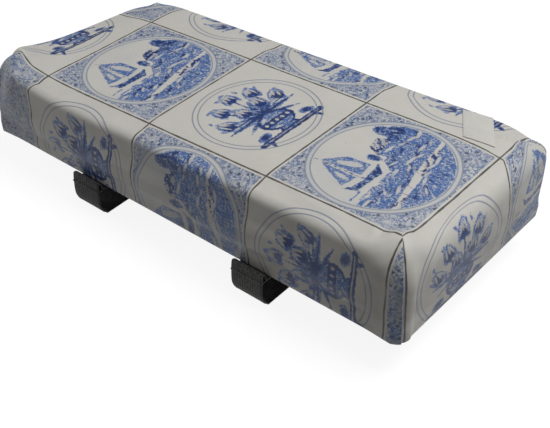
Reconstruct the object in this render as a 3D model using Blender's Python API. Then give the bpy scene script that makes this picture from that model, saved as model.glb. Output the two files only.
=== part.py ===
"""Bicycle rear rack seat cushion: a printed cover folded over foam and a board.

Units are metres, +Z is up and +X points to the bicycle's rear, so +Y is its left side.
The origin lies at the middle of the flat face under the base.
"""
import math

import bmesh
import bpy
import numpy as np
from mathutils import Matrix, Vector
from mathutils import geometry

for leftover in list(bpy.data.objects):
    bpy.data.objects.remove(leftover, do_unlink=True)

# Upholstered body
LENGTH = 0.3634
WIDTH = 0.1551
RIM_HEIGHT = 0.0559
TOP_SLOPE = 0.0354
PLAN_RADIUS = 0.009
LONG_EDGE_RADIUS = 0.005
FRONT_EDGE_RADIUS = 0.0052
REAR_EDGE_RADIUS = 0.0125
SIDE_BULGE = 0.0017
SIDE_TUCK = {"left": 0.0038, "right": -0.0022, "front": 0.0057, "rear": 0.0026}
TUCK_POWER = 2.2

# Corners, where the cloth is gathered: pulled in, rounded over and lifted
CORNER_REACH = 0.0134
CORNER_PULL = {"front_right": 0.0100, "rear_right": 0.0079, "rear_left": 0.0084, "front_left": 0.0080}
CORNER_ROUND = {"front_right": 0.0400, "rear_right": 0.025, "rear_left": 0.0138, "front_left": 0.0240}
CORNER_LIFT = {"front_right": 0.0090, "rear_right": 0.005, "rear_left": 0.0006, "front_left": 0.0018}
LIFT_REACH = {"front_right": 0.0390, "rear_right": 0.0159, "rear_left": 0.0159, "front_left": 0.0159}
ROUND_MARGIN = 0.002

# The rear end droops, and the front end's top leans back, most at its left corner
REAR_DROOP = 0.0019
DROOP_REACH = 0.0477
DROOP_SPAN = 0.055
LEAN_MIDDLE = 0.0031
LEAN_SLANT = 0.0103
LEAN_REACH = 0.1027

# Cloth of the cover
CLOTH = 0.0008
HEM_BEND = 0.0016
HEM_INNER_OFFSET = -0.013
HEM_CORNER_TRIM = 0.001
FOLD_ANGLE = math.radians(45.0)
FOLD_EDGE_HALF_ANGLE = math.radians(1.2)
FOLD_STEP = 0.0012
FOLD_FADE = 0.030

# Base
CLEARANCE = 0.0003
FOAM_CLEARANCE = 0.0006
BOARD = 0.006
LINING = 0.001
LINING_MARGIN = 0.004
LINING_CORNER = 0.006

# Straps: webbing loops, closed by hook and loop patches
STRAP_POSITIONS = {"front": -0.0775, "rear": 0.0695}
WEBBING_WIDTH = 0.025
WEBBING = 0.0016
STRAP_RISE = 0.0044
STRAP_FOLD = 0.0030
LOOP_DEPTH = 0.017
LOOP_TURN = 0.006
OVERLAP = 0.054
PATCH_LENGTH = 0.046
PATCH_WIDTH = 0.022
PATCH = 0.001

# Screws that hold the straps to the board
SCREW_FROM_HEM = 0.0055
SHANK_RADIUS = 0.00175
HEAD_RADIUS = 0.0036
HEAD_HEIGHT = 0.0018
WASHER_RADIUS = 0.0055
WASHER = 0.0008
SCREW_BITE = 0.0045

# Staples that hold the hem and the lining to the board
STAPLE_CROWN = 0.010
STAPLE_WIRE = 0.0007
STAPLE_BITE = 0.0035
STAPLES_PER_BAY = 3
STAPLES_PER_END = 3
STAPLE_EDGE_MARGIN = 0.016
STAPLE_FROM_HEM_EDGE = 0.005
STAPLE_HOLE_MARGIN = 0.0003

# Bare label that lies on the top, against the far rear edge
LABEL_FROM_REAR = 0.0431
LABEL_FROM_LEFT = 0.0206
LABEL_ANGLE = math.radians(33.0)
LABEL_END_ANGLE = math.radians(8.0)
LABEL_WIDTH = 0.0208
LABEL_LENGTH = 0.034
LABEL = 0.0004
LABEL_GAP = 0.0005

# Facets
LONG_CELLS = 8
SHORT_CELLS = 4
NEAR_CORNER_STATIONS = (0.006, 0.013, 0.021, 0.032)
ARC_ROWS = 5
WALL_ROWS = 4
FOOT_ROWS = 2
BEND_ROWS = 3
ROUND_SEGMENTS = 16
PATH_STEPS = 5
LABEL_CELLS = (4, 8)
FOLD_COLUMNS = (3, 3)
LINING_CORNER_STEPS = 4

# Places that follow from the sizes above
CORNER_SIDES = {"front_right": (-1, -1), "rear_right": (1, -1), "rear_left": (1, 1), "front_left": (-1, 1)}
CORE_X = LENGTH / 2 - PLAN_RADIUS
CORE_Y = WIDTH / 2 - PLAN_RADIUS
HEM_BOTTOM = LINING + CLEARANCE
WALL_FOOT = HEM_BOTTOM + HEM_BEND
BOARD_BOTTOM = HEM_BOTTOM + CLOTH + CLEARANCE
BOARD_TOP = BOARD_BOTTOM + BOARD
FOAM_BOTTOM = BOARD_TOP + CLEARANCE
STRAP_TOP_RUN = -CLEARANCE - WEBBING / 2
STRAP_INNER_RUN = -LOOP_DEPTH
STRAP_OUTER_RUN = STRAP_INNER_RUN - WEBBING - 2 * PATCH - 3 * CLEARANCE
STAPLE_LINE = HEM_INNER_OFFSET + STAPLE_FROM_HEM_EDGE
SCREW_Y = CORE_Y + HEM_INNER_OFFSET - SCREW_FROM_HEM
LABEL_CENTRE = (LENGTH / 2 - LABEL_FROM_REAR, WIDTH / 2 - LABEL_FROM_LEFT)


def principled(name, colour, roughness, metallic=0.0):
    """Make one plain Principled material."""
    material = bpy.data.materials.new(name)
    material.use_nodes = True
    shader = material.node_tree.nodes["Principled BSDF"]
    shader.inputs["Base Color"].default_value = (*colour, 1.0)
    shader.inputs["Roughness"].default_value = roughness
    shader.inputs["Metallic"].default_value = metallic
    return material


MATERIALS = {
    "printed_cloth": principled("printed_cloth", (0.58, 0.58, 0.57), 0.42),
    "foam": principled("foam", (0.82, 0.78, 0.62), 0.95),
    "plywood": principled("plywood", (0.55, 0.40, 0.24), 0.70),
    "lining": principled("lining", (0.02, 0.02, 0.022), 0.90),
    "webbing": principled("webbing", (0.012, 0.012, 0.013), 0.75),
    "hook_tape": principled("hook_tape", (0.02, 0.02, 0.022), 0.60),
    "loop_tape": principled("loop_tape", (0.03, 0.03, 0.032), 0.95),
    "zinc_steel": principled("zinc_steel", (0.62, 0.62, 0.60), 0.35, 1.0),
    "label": principled("label", (0.50, 0.49, 0.46), 0.60),
}


def add_object(name, mesh, material, smooth_angle=None):
    """Link a mesh as one named sub-part with its material."""
    mesh.materials.clear()
    mesh.materials.append(MATERIALS[material])
    if smooth_angle is not None:
        mesh.shade_smooth()
        mesh.set_sharp_from_angle(angle=smooth_angle)
    part = bpy.data.objects.new(name, mesh)
    bpy.context.scene.collection.objects.link(part)
    return part


def mesh_from_bmesh(name, bm):
    """Close a bmesh into mesh data with its faces pointing out."""
    bmesh.ops.recalc_face_normals(bm, faces=bm.faces[:])
    mesh = bpy.data.meshes.new(name)
    bm.to_mesh(mesh)
    bm.free()
    return mesh


def smoothstep(value):
    """Ramp from 0 to 1 with level ends."""
    limited = np.clip(value, 0.0, 1.0)
    return limited * limited * (3.0 - 2.0 * limited)


def stations(half, cells):
    """Coordinates from -half to half: close together near the ends, even between."""
    near = [half - step for step in NEAR_CORNER_STATIONS]
    inner = np.linspace(-near[-1], near[-1], cells + 1)[1:-1]
    return np.array([-half] + [-x for x in near] + list(inner) + near[::-1] + [half])


def perimeter():
    """Columns once around the body, anticlockwise seen from above.

    Each column has the point of the top's edge that it hangs from, its outward
    direction, its distance from the nearest corner along the edge, and how far it has
    turned round that corner from the long side, in radians, or None on a straight side.
    """
    xs = stations(CORE_X, LONG_CELLS)
    ys = stations(CORE_Y, SHORT_CELLS)
    fan = np.concatenate([
        np.linspace(0.0, FOLD_ANGLE - FOLD_EDGE_HALF_ANGLE, FOLD_COLUMNS[0] + 1)[1:],
        np.linspace(FOLD_ANGLE + FOLD_EDGE_HALF_ANGLE, math.pi / 2, FOLD_COLUMNS[1] + 1)[:-1],
    ])
    columns = []

    def straight(points, direction, long_side):
        for x, y in points:
            along = CORE_X - abs(x) if long_side else CORE_Y - abs(y)
            columns.append(((x, y), direction, along, long_side, None))

    def corner(side_x, side_y, from_long_side):
        angles = fan if from_long_side else fan[::-1]
        for angle in angles:
            direction = (side_x * math.sin(angle), side_y * math.cos(angle))
            columns.append(((side_x * CORE_X, side_y * CORE_Y), direction, 0.0, True, angle))

    straight([(x, -CORE_Y) for x in xs], (0.0, -1.0), True)
    corner(1, -1, True)
    straight([(CORE_X, y) for y in ys], (1.0, 0.0), False)
    corner(1, 1, False)
    straight([(x, CORE_Y) for x in xs[::-1]], (0.0, 1.0), True)
    corner(-1, 1, True)
    straight([(-CORE_X, y) for y in ys[::-1]], (-1.0, 0.0), False)
    corner(-1, -1, False)
    return columns


COLUMNS = perimeter()
CORE = np.array([column[0] for column in COLUMNS])
OUTWARD = np.array([column[1] for column in COLUMNS])
FROM_CORNER = np.array([column[2] for column in COLUMNS])


def corner_square(name, x, y):
    """Square of the distance from one corner of the flat top."""
    side_x, side_y = CORNER_SIDES[name]
    return (side_x * CORE_X - x) ** 2 + (side_y * CORE_Y - y) ** 2


def top_lift(x, y):
    """How far the gathered corners raise the top, less the rear end's droop."""
    lift = -REAR_DROOP * smoothstep((DROOP_REACH - CORE_X + x) / DROOP_SPAN)
    for name, height in CORNER_LIFT.items():
        lift = lift + height * np.exp(-corner_square(name, x, y) / LIFT_REACH[name] ** 2)
    return lift


def top_lean(x, y):
    """How far the top of the front end is moved to the rear."""
    return (LEAN_MIDDLE + LEAN_SLANT * y / CORE_Y) * smoothstep(1.0 - (CORE_X + x) / LEAN_REACH)


def top_plane(x):
    """Height of the sloping top at a place along the body."""
    return RIM_HEIGHT + TOP_SLOPE * x


def top_plan(x, y):
    """Where a point of the evenly rounded top lies in plan.

    Away from the corners the edges are as round as their own radius asks, the corners
    are pulled in towards the middle, and the front end leans.
    """
    near_end = np.exp(-((CORE_X - np.abs(x)) / CORNER_REACH) ** 2)
    near_side = np.exp(-((CORE_Y - np.abs(y)) / CORNER_REACH) ** 2)
    end_radius = np.where(x < 0.0, FRONT_EDGE_RADIUS, REAR_EDGE_RADIUS)
    moved_x = x + x / CORE_X * (PLAN_RADIUS - end_radius) * (1.0 - near_side) + top_lean(x, y)
    moved_y = y + y / CORE_Y * (PLAN_RADIUS - LONG_EDGE_RADIUS) * (1.0 - near_end)
    for name, (side_x, side_y) in CORNER_SIDES.items():
        close = np.exp(-corner_square(name, x, y) / CORNER_REACH ** 2)
        moved_x = moved_x - side_x * CORNER_PULL[name] * close
        moved_y = moved_y - side_y * CORNER_PULL[name] * close
    return moved_x, moved_y


def fold_layers():
    """Share of the folded corner's extra layers that lies under each column."""
    share = np.zeros(len(COLUMNS))
    for index, (_, _, along, long_side, angle) in enumerate(COLUMNS):
        if long_side and angle is None:
            share[index] = 1.0 - (along + PLAN_RADIUS * FOLD_ANGLE) / FOLD_FADE
        elif long_side and angle < FOLD_ANGLE:
            share[index] = 1.0 - PLAN_RADIUS * (FOLD_ANGLE - angle) / FOLD_FADE
    return smoothstep(share)[:, None]


def side_blend(long_first, long_second, end_first, end_second):
    """One value per column from those of the left, right, front and rear side."""
    across = np.abs(OUTWARD)
    along_y = np.where(OUTWARD[:, 1] > 0.0, long_first, long_second)
    along_x = np.where(OUTWARD[:, 0] < 0.0, end_first, end_second)
    return (across[:, 1] * along_y + across[:, 0] * along_x) / across.sum(axis=1)


def side_section():
    """Outer face of the cover's side: plan points and heights by column and row.

    A quarter of an ellipse turns the top into the side, as deep as the edge is round
    there. The side then bulges as a sine, draws in with a power of its depth, leans
    with the front end's top, and turns under with a small bend.
    """
    x, y = CORE.T
    closeness = {
        name: np.exp(-corner_square(name, x, y) / CORNER_REACH ** 2) for name in CORNER_SIDES
    }
    gathered = np.clip(sum(closeness.values()), 0.0, 1.0)
    plain_round = side_blend(LONG_EDGE_RADIUS, LONG_EDGE_RADIUS, FRONT_EDGE_RADIUS, REAR_EDGE_RADIUS)
    corner_round = sum(CORNER_ROUND[name] * close for name, close in closeness.items())
    above_foam = top_plane(x) - FOAM_BOTTOM
    edge_round = corner_round + (1.0 - gathered) * plain_round
    edge_round = np.minimum(edge_round, above_foam - ROUND_MARGIN)[:, None]
    above_foam = above_foam[:, None]
    wall = (top_plane(x) - WALL_FOOT)[:, None]

    turned = np.linspace(0.0, math.pi / 2, ARC_ROWS + 1)[None, :]
    wall_share = np.linspace(0.0, 1.0, WALL_ROWS + 1)[None, 1:]
    foot_share = np.linspace(0.0, 1.0, FOOT_ROWS + 1)[None, 1:]
    drop = np.hstack([
        edge_round * (1.0 - np.cos(turned)),
        edge_round + (above_foam - edge_round) * wall_share,
        above_foam + (wall - above_foam) * foot_share,
    ])
    reach = np.ones_like(drop)
    reach[:, :ARC_ROWS + 1] = np.sin(turned)
    depth = drop / wall
    bulge = SIDE_BULGE * (1.0 - gathered)[:, None] * np.sin(math.pi * depth)
    tuck = side_blend(*(SIDE_TUCK[side] for side in ("left", "right", "front", "rear")))
    swell = bulge - tuck[:, None] * depth ** TUCK_POWER
    edge = np.stack(top_plan(x, y), axis=1)[:, None, :]
    rim = (CORE + OUTWARD * PLAN_RADIUS)[:, None, :].repeat(drop.shape[1], axis=1)
    rim[:, :, 0] += top_lean(x, y)[:, None] * (1.0 - depth)
    plan = edge + (rim - edge) * reach[:, :, None] + OUTWARD[:, None, :] * swell[:, :, None]
    height = top_plane(x)[:, None] - drop + top_lift(x, y)[:, None] * (1.0 - depth)

    bend = np.linspace(0.0, math.pi / 2, BEND_ROWS + 1)[None, 1:]
    bend_in = HEM_BEND * (1.0 - np.cos(bend))
    bend_plan = plan[:, -1:] - OUTWARD[:, None, :] * bend_in[:, :, None]
    bend_height = height[:, -1:] - HEM_BEND * np.sin(bend)
    return np.concatenate([plan, bend_plan], axis=1), np.hstack([height, bend_height])


def inset(plan, height, distance):
    """Move every section inwards along its own normals."""
    offset = (plan * OUTWARD[:, None, :]).sum(axis=2)
    run = np.gradient(offset, axis=1)
    rise = np.gradient(height, axis=1)
    run[:, 0] = 1.0
    rise[:, 0] = 0.0
    run[:, -1] = -1.0
    rise[:, -1] = 0.0
    size = np.hypot(run, rise)
    inward = distance * rise / size
    return plan + OUTWARD[:, None, :] * inward[:, :, None], height - distance * run / size


def place(plan, height):
    """Points in space of the sections, by column and row."""
    return np.concatenate([plan, height[:, :, None]], axis=2)


def add_top(bm, lowered):
    """Add the grid of the top, lowered by a wall's thickness."""
    xs = stations(CORE_X, LONG_CELLS)
    ys = stations(CORE_Y, SHORT_CELLS)
    x, y = np.meshgrid(xs, ys)
    moved_x, moved_y = top_plan(x, y)
    points = np.stack([moved_x, moved_y, top_plane(x) + top_lift(x, y) - lowered], axis=2)
    rows = [[bm.verts.new(point) for point in row] for row in points]
    for lower, upper in zip(rows, rows[1:]):
        for a, b, c, d in zip(lower, lower[1:], upper[1:], upper):
            bm.faces.new((a, b, c, d))


def add_side(bm, points):
    """Add the strip of faces that hangs from the top's edge and return its last row."""
    grid = [[bm.verts.new(point) for point in column] for column in points]
    for column, following in zip(grid, grid[1:] + grid[:1]):
        for a, b, c, d in zip(column, column[1:], following[1:], following):
            bm.faces.new((a, b, c, d))
    return [column[-1] for column in grid]


def weld(bm):
    """Join the vertices that the top and the sides share."""
    bmesh.ops.remove_doubles(bm, verts=bm.verts[:], dist=1e-6)


def make_cover():
    """The whole printed sheet: top, sides, folded corners and the hem turned under."""
    plan, height = side_section()
    inner_plan, inner_height = inset(plan, height, CLOTH)
    below_rim = smoothstep((height[:, :1] - height) / PLAN_RADIUS)
    plan = plan + OUTWARD[:, None, :] * (FOLD_STEP * fold_layers() * below_rim)[:, :, None]
    # The hem's inner edge is trimmed back where the two sides meet
    hem_offset = np.maximum(HEM_INNER_OFFSET, HEM_CORNER_TRIM - FROM_CORNER)[:, None]
    hem = (CORE + OUTWARD * hem_offset)[:, None, :]
    outer = place(np.concatenate([plan, hem], axis=1), np.hstack([height, height[:, -1:]]))
    inner = place(
        np.concatenate([inner_plan, hem], axis=1),
        np.hstack([inner_height, height[:, -1:] + CLOTH]),
    )
    bm = bmesh.new()
    add_top(bm, 0.0)
    outer_rim = add_side(bm, outer)
    add_top(bm, CLOTH)
    inner_rim = add_side(bm, inner)
    for index, vertex in enumerate(outer_rim):
        following = (index + 1) % len(outer_rim)
        bm.faces.new((vertex, inner_rim[index], inner_rim[following], outer_rim[following]))
    weld(bm)
    return add_object("cover", mesh_from_bmesh("cover", bm), "printed_cloth", math.radians(40))


def make_foam_pad():
    """The foam block that fills the cover above the board."""
    clear = CLOTH + FOAM_CLEARANCE
    plan, height = inset(*side_section(), clear)
    kept = ARC_ROWS + WALL_ROWS + 1
    height[:, kept - 1] = FOAM_BOTTOM
    bm = bmesh.new()
    add_top(bm, clear)
    rim = add_side(bm, place(plan[:, :kept], height[:, :kept]))
    bm.faces.new(rim)
    weld(bm)
    return add_object("foam_pad", mesh_from_bmesh("foam_pad", bm), "foam", math.radians(40))


def sheet_bmesh(outline, bottom, thickness):
    """A flat sheet with an outline, as an open bmesh to work on."""
    bm = bmesh.new()
    face = bm.faces.new([bm.verts.new((x, y, bottom)) for x, y in outline])
    raised = bmesh.ops.extrude_face_region(bm, geom=[face])["geom"]
    moved = [item for item in raised if isinstance(item, bmesh.types.BMVert)]
    bmesh.ops.translate(bm, verts=moved, vec=(0.0, 0.0, thickness))
    weld(bm)
    return bm


def plan_at(plan, height, level):
    """Plan point of each section where it passes a height."""
    points = []
    for section, z in zip(plan, height):
        points.append([np.interp(-level, -z, coordinate) for coordinate in section.T])
    return np.array(points)


def board_outline():
    """The board reaches up to the cloth all round, less a clearance at both its faces."""
    plan, height = inset(*side_section(), CLOTH + CLEARANCE)
    lower = plan_at(plan, height, BOARD_BOTTOM + CLEARANCE)
    upper = plan_at(plan, height, BOARD_TOP)
    lower_reach = (lower * OUTWARD).sum(axis=1)
    upper_reach = (upper * OUTWARD).sum(axis=1)
    return np.where((lower_reach < upper_reach)[:, None], lower, upper)


def make_board():
    """The board under the foam."""
    bm = sheet_bmesh(board_outline(), BOARD_BOTTOM, BOARD)
    return add_object("base_board", mesh_from_bmesh("base_board", bm), "plywood")


def rounded_rectangle(half_x, half_y, radius):
    """Points of a rectangle with round corners, anticlockwise."""
    points = []
    turns = np.linspace(0.0, math.pi / 2, LINING_CORNER_STEPS + 1)
    for quarter, (side_x, side_y) in enumerate(((1, 1), (-1, 1), (-1, -1), (1, -1))):
        for turn in turns + quarter * math.pi / 2:
            x = side_x * (half_x - radius) + radius * math.cos(turn)
            y = side_y * (half_y - radius) + radius * math.sin(turn)
            points.append((x, y))
    return points


def make_lining():
    """The sheet under the board, with its seams beside the straps and the staples."""
    board = np.abs(board_outline())
    on_end = FROM_CORNER > 0.0
    half_x = board[on_end & (OUTWARD[:, 0] != 0.0), 0].min() - LINING_MARGIN
    half_y = board[on_end & (OUTWARD[:, 1] != 0.0), 1].min() - LINING_MARGIN
    bm = sheet_bmesh(rounded_rectangle(half_x, half_y, LINING_CORNER), 0.0, LINING)
    beside = WEBBING_WIDTH / 2 + STAPLE_WIRE
    seams = [((x + side * beside, 0.0, 0.0), (1.0, 0.0, 0.0))
             for x in STRAP_POSITIONS.values() for side in (-1, 1)]
    seam_y = CORE_Y + STAPLE_LINE - 2 * STAPLE_WIRE
    seams += [((0.0, side * seam_y, 0.0), (0.0, 1.0, 0.0)) for side in (-1, 1)]
    for point, direction in seams:
        every = bm.verts[:] + bm.edges[:] + bm.faces[:]
        bmesh.ops.bisect_plane(bm, geom=every, plane_co=point, plane_no=direction)
    return add_object("base_lining", mesh_from_bmesh("base_lining", bm), "lining")


def ribbon(name, path, width, thickness, centre_x, material):
    """A flat band of even thickness along a path of (y, z) points, its width along X."""
    path = np.asarray(path)
    tangent = np.gradient(path, axis=0)
    tangent /= np.linalg.norm(tangent, axis=1)[:, None]
    normal = np.stack([-tangent[:, 1], tangent[:, 0]], axis=1) * thickness / 2
    bm = bmesh.new()
    rings = []
    for point, across in zip(path, normal):
        ring = []
        for side, face in ((-1, -1), (1, -1), (1, 1), (-1, 1)):
            y, z = point + face * across
            ring.append(bm.verts.new((centre_x + side * width / 2, y, z)))
        rings.append(ring)
    for ring, following in zip(rings, rings[1:]):
        for corner in range(4):
            turn = (corner + 1) % 4
            bm.faces.new((ring[corner], ring[turn], following[turn], following[corner]))
    bm.faces.new(rings[0])
    bm.faces.new(rings[-1][::-1])
    return add_object(name, mesh_from_bmesh(name, bm), material, math.radians(40))


def smooth_path(points, steps):
    """Points on a smooth curve through the given ones (Catmull-Rom, as Bezier pieces)."""
    ends = [points[0]] + list(points) + [points[-1]]
    curve = []
    for before, start, end, after in zip(ends, ends[1:], ends[2:], ends[3:]):
        start_handle = np.add(start, np.subtract(end, before) / 6)
        end_handle = np.subtract(end, np.subtract(after, start) / 6)
        corners = [Vector((y, z, 0.0)) for y, z in (start, start_handle, end_handle, end)]
        curve += geometry.interpolate_bezier(*corners, steps)[:-1]
    curve.append(Vector((*points[-1], 0.0)))
    return [(point.x, point.y) for point in curve]


def loop_side(side, lower_run):
    """One side of a strap's loop, from the top run's end to the lower run's start.

    The webbing leaves the base, stands up as a short fold beside the hem, and turns
    down and back under the base.
    """
    sign = 1 if side == "left" else -1
    foot = WIDTH / 2 - SIDE_TUCK[side] + WEBBING / 2 + CLEARANCE
    inner = foot + 2 * CLEARANCE + SIDE_BULGE * 0.3
    outer = inner + STRAP_FOLD
    crest = STRAP_RISE
    middle = (STRAP_TOP_RUN + lower_run) / 2
    half_path = [
        (foot - LOOP_TURN, STRAP_TOP_RUN),
        (foot - LOOP_TURN / 3, STRAP_TOP_RUN),
        (inner - STRAP_FOLD / 8, STRAP_TOP_RUN + STRAP_FOLD / 2),
        (inner, crest - STRAP_FOLD / 2),
        ((inner + outer) / 2, crest),
        (outer, crest - STRAP_FOLD / 2),
        (outer + STRAP_FOLD / 4, middle),
        (outer - LOOP_TURN / 3, lower_run + LOOP_TURN / 2),
        (outer - LOOP_TURN, lower_run + WEBBING / 4),
        (outer - 2 * LOOP_TURN, lower_run),
    ]
    return [(sign * y, z) for y, z in half_path]


def make_strap(name, centre_x):
    """A webbing loop whose ends lap under the middle of the base."""
    inner_end = [(-OVERLAP / 2, STRAP_INNER_RUN), (0.0, STRAP_INNER_RUN)]
    outer_end = [(0.0, STRAP_OUTER_RUN), (OVERLAP / 2, STRAP_OUTER_RUN)]
    left_side = loop_side("left", STRAP_INNER_RUN)
    right_side = loop_side("right", STRAP_OUTER_RUN)
    route = inner_end + left_side[::-1] + right_side + outer_end
    path = smooth_path(route, PATH_STEPS)
    return ribbon(name, path, WEBBING_WIDTH, WEBBING, centre_x, "webbing")


def box(name, size, centre, material, bevel):
    """A box with softened edges."""
    bm = bmesh.new()
    bmesh.ops.create_cube(bm, size=1.0)
    bmesh.ops.scale(bm, vec=size, verts=bm.verts[:])
    bmesh.ops.bevel(bm, geom=bm.edges[:], offset=bevel, segments=1, affect="EDGES")
    bmesh.ops.translate(bm, vec=centre, verts=bm.verts[:])
    return add_object(name, mesh_from_bmesh(name, bm), material)


def turned(name, profile, centre, material):
    """A solid turned about a vertical axis from (radius, height) points."""
    bm = bmesh.new()
    chain = [bm.verts.new((radius, 0.0, height)) for radius, height in profile]
    edges = [bm.edges.new(pair) for pair in zip(chain, chain[1:])]
    bmesh.ops.spin(bm, geom=chain + edges, cent=(0, 0, 0), axis=(0, 0, 1),
                   angle=2 * math.pi, steps=ROUND_SEGMENTS)
    weld(bm)
    bmesh.ops.translate(bm, vec=centre, verts=bm.verts[:])
    return add_object(name, mesh_from_bmesh(name, bm), material, math.radians(35))


def make_washer(name, centre_x, centre_y):
    """A flat washer under a screw's head, against the strap."""
    hole = SHANK_RADIUS + CLEARANCE
    top = STRAP_TOP_RUN - WEBBING / 2 - CLEARANCE
    profile = [
        (hole, top), (WASHER_RADIUS, top), (WASHER_RADIUS, top - WASHER),
        (hole, top - WASHER), (hole, top),
    ]
    return turned(name, profile, (centre_x, centre_y, 0.0), "zinc_steel")


def make_screw(name, centre_x, centre_y):
    """A round-headed screw driven up into the board, with a cross recess."""
    seat = STRAP_TOP_RUN - WEBBING / 2 - WASHER - 2 * CLEARANCE
    tip = BOARD_BOTTOM + SCREW_BITE
    profile = [(0.0, tip), (SHANK_RADIUS * 0.35, tip), (SHANK_RADIUS, tip - SHANK_RADIUS)]
    profile += [(SHANK_RADIUS, seat), (HEAD_RADIUS, seat)]
    for angle in np.linspace(0.0, math.pi / 2, 5)[1:-1]:
        profile.append((HEAD_RADIUS * math.cos(angle), seat - HEAD_HEIGHT * math.sin(angle)))
    profile.append((0.0, seat - HEAD_HEIGHT))
    screw = turned(name, profile, (centre_x, centre_y, 0.0), "zinc_steel")
    slot = HEAD_RADIUS * 0.3
    bm = bmesh.new()
    for size in ((slot * 4, slot, HEAD_HEIGHT), (slot, slot * 4, HEAD_HEIGHT)):
        bar = bmesh.ops.create_cube(bm, size=1.0)["verts"]
        bmesh.ops.scale(bm, vec=size, verts=bar)
    bmesh.ops.translate(bm, vec=(centre_x, centre_y, seat - HEAD_HEIGHT), verts=bm.verts[:])
    cut(screw, cutter(name + "_recess", bm), use_self=True)
    return screw


def cutter(name, bm):
    """Turn a bmesh into a hidden cutting tool."""
    tool = add_object(name, mesh_from_bmesh(name, bm), "zinc_steel")
    tool.hide_render = True
    tool.display_type = "WIRE"
    return tool


def cut(part, tool, use_self=False):
    """Subtract a cutting tool from a part."""
    boolean = part.modifiers.new(tool.name, "BOOLEAN")
    boolean.operation = "DIFFERENCE"
    boolean.solver = "EXACT"
    boolean.use_self = use_self
    boolean.object = tool


def strap_bays():
    """Stretches along X that the straps leave free, from the front end to the rear."""
    taken = sorted(STRAP_POSITIONS.values())
    half = WEBBING_WIDTH / 2 + STAPLE_CROWN / 2 + STAPLE_EDGE_MARGIN / 2
    end = CORE_X - STAPLE_EDGE_MARGIN
    starts = [-end] + [x + half for x in taken]
    ends = [x - half for x in taken] + [end]
    return list(zip(starts, ends))


def staple_places():
    """Every staple's name, middle and whether it lies along X."""
    places = []
    bays = strap_bays()
    xs = [x for start, end in bays for x in np.linspace(start, end, STAPLES_PER_BAY)]
    for side, sign in (("left", 1), ("right", -1)):
        for number, x in enumerate(xs, 1):
            places.append((f"staple_{side}_{number}", (x, sign * (CORE_Y + STAPLE_LINE)), True))
    reach = CORE_Y - STAPLE_EDGE_MARGIN
    for end, sign in (("front", -1), ("rear", 1)):
        for number, y in enumerate(np.linspace(-reach, reach, STAPLES_PER_END), 1):
            places.append((f"staple_{end}_{number}", (sign * (CORE_X + STAPLE_LINE), y), False))
    return places


def staple_legs():
    """Middles of a staple's two legs along its crown."""
    return [-(STAPLE_CROWN - STAPLE_WIRE) / 2, (STAPLE_CROWN - STAPLE_WIRE) / 2]


def make_staple(name, middle, along_x):
    """A wire staple: a crown under the lining and two legs up into the board."""
    crown_top = -CLEARANCE
    crown_bottom = crown_top - STAPLE_WIRE
    tip = BOARD_BOTTOM + STAPLE_BITE
    half = STAPLE_CROWN / 2
    outline = [
        (-half, crown_bottom), (half, crown_bottom), (half, tip),
        (half - STAPLE_WIRE, tip), (half - STAPLE_WIRE, crown_top),
        (STAPLE_WIRE - half, crown_top), (STAPLE_WIRE - half, tip), (-half, tip),
    ]
    bm = bmesh.new()
    face = bm.faces.new([bm.verts.new((a, -STAPLE_WIRE / 2, z)) for a, z in outline])
    raised = bmesh.ops.extrude_face_region(bm, geom=[face])["geom"]
    moved = [item for item in raised if isinstance(item, bmesh.types.BMVert)]
    bmesh.ops.translate(bm, verts=moved, vec=(0.0, STAPLE_WIRE, 0.0))
    if not along_x:
        bmesh.ops.rotate(bm, verts=bm.verts[:], matrix=Matrix.Rotation(math.pi / 2, 3, "Z"))
    bmesh.ops.translate(bm, verts=bm.verts[:], vec=(*middle, 0.0))
    return add_object(name, mesh_from_bmesh(name, bm), "zinc_steel")


def staple_hole_cutter():
    """One tool with a square pin for every staple leg."""
    side = STAPLE_WIRE + 2 * STAPLE_HOLE_MARGIN
    bottom = -STAPLE_WIRE
    top = BOARD_BOTTOM + STAPLE_BITE + CLEARANCE
    bm = bmesh.new()
    for _, middle, along_x in staple_places():
        for shift in staple_legs():
            x = middle[0] + (shift if along_x else 0.0)
            y = middle[1] + (0.0 if along_x else shift)
            pin = bmesh.ops.create_cube(bm, size=1.0)["verts"]
            bmesh.ops.scale(bm, vec=(side, side, top - bottom), verts=pin)
            bmesh.ops.translate(bm, vec=(x, y, (top + bottom) / 2), verts=pin)
    return cutter("staple_holes", bm)


def screw_places():
    """Every strap screw's name and middle."""
    places = []
    for end, x in STRAP_POSITIONS.items():
        for side, sign in (("left", 1), ("right", -1)):
            places.append((f"{end}_{side}", x, sign * SCREW_Y))
    return places


def screw_hole_cutter():
    """One tool with a round pin for every screw."""
    bottom = STRAP_TOP_RUN - WEBBING
    top = BOARD_BOTTOM + SCREW_BITE + CLEARANCE
    bm = bmesh.new()
    for _, x, y in screw_places():
        pin = bmesh.ops.create_cone(
            bm, cap_ends=True, segments=ROUND_SEGMENTS, depth=top - bottom,
            radius1=SHANK_RADIUS + CLEARANCE, radius2=SHANK_RADIUS + CLEARANCE)["verts"]
        bmesh.ops.translate(bm, vec=(x, y, (top + bottom) / 2), verts=pin)
    return cutter("screw_holes", bm)


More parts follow.
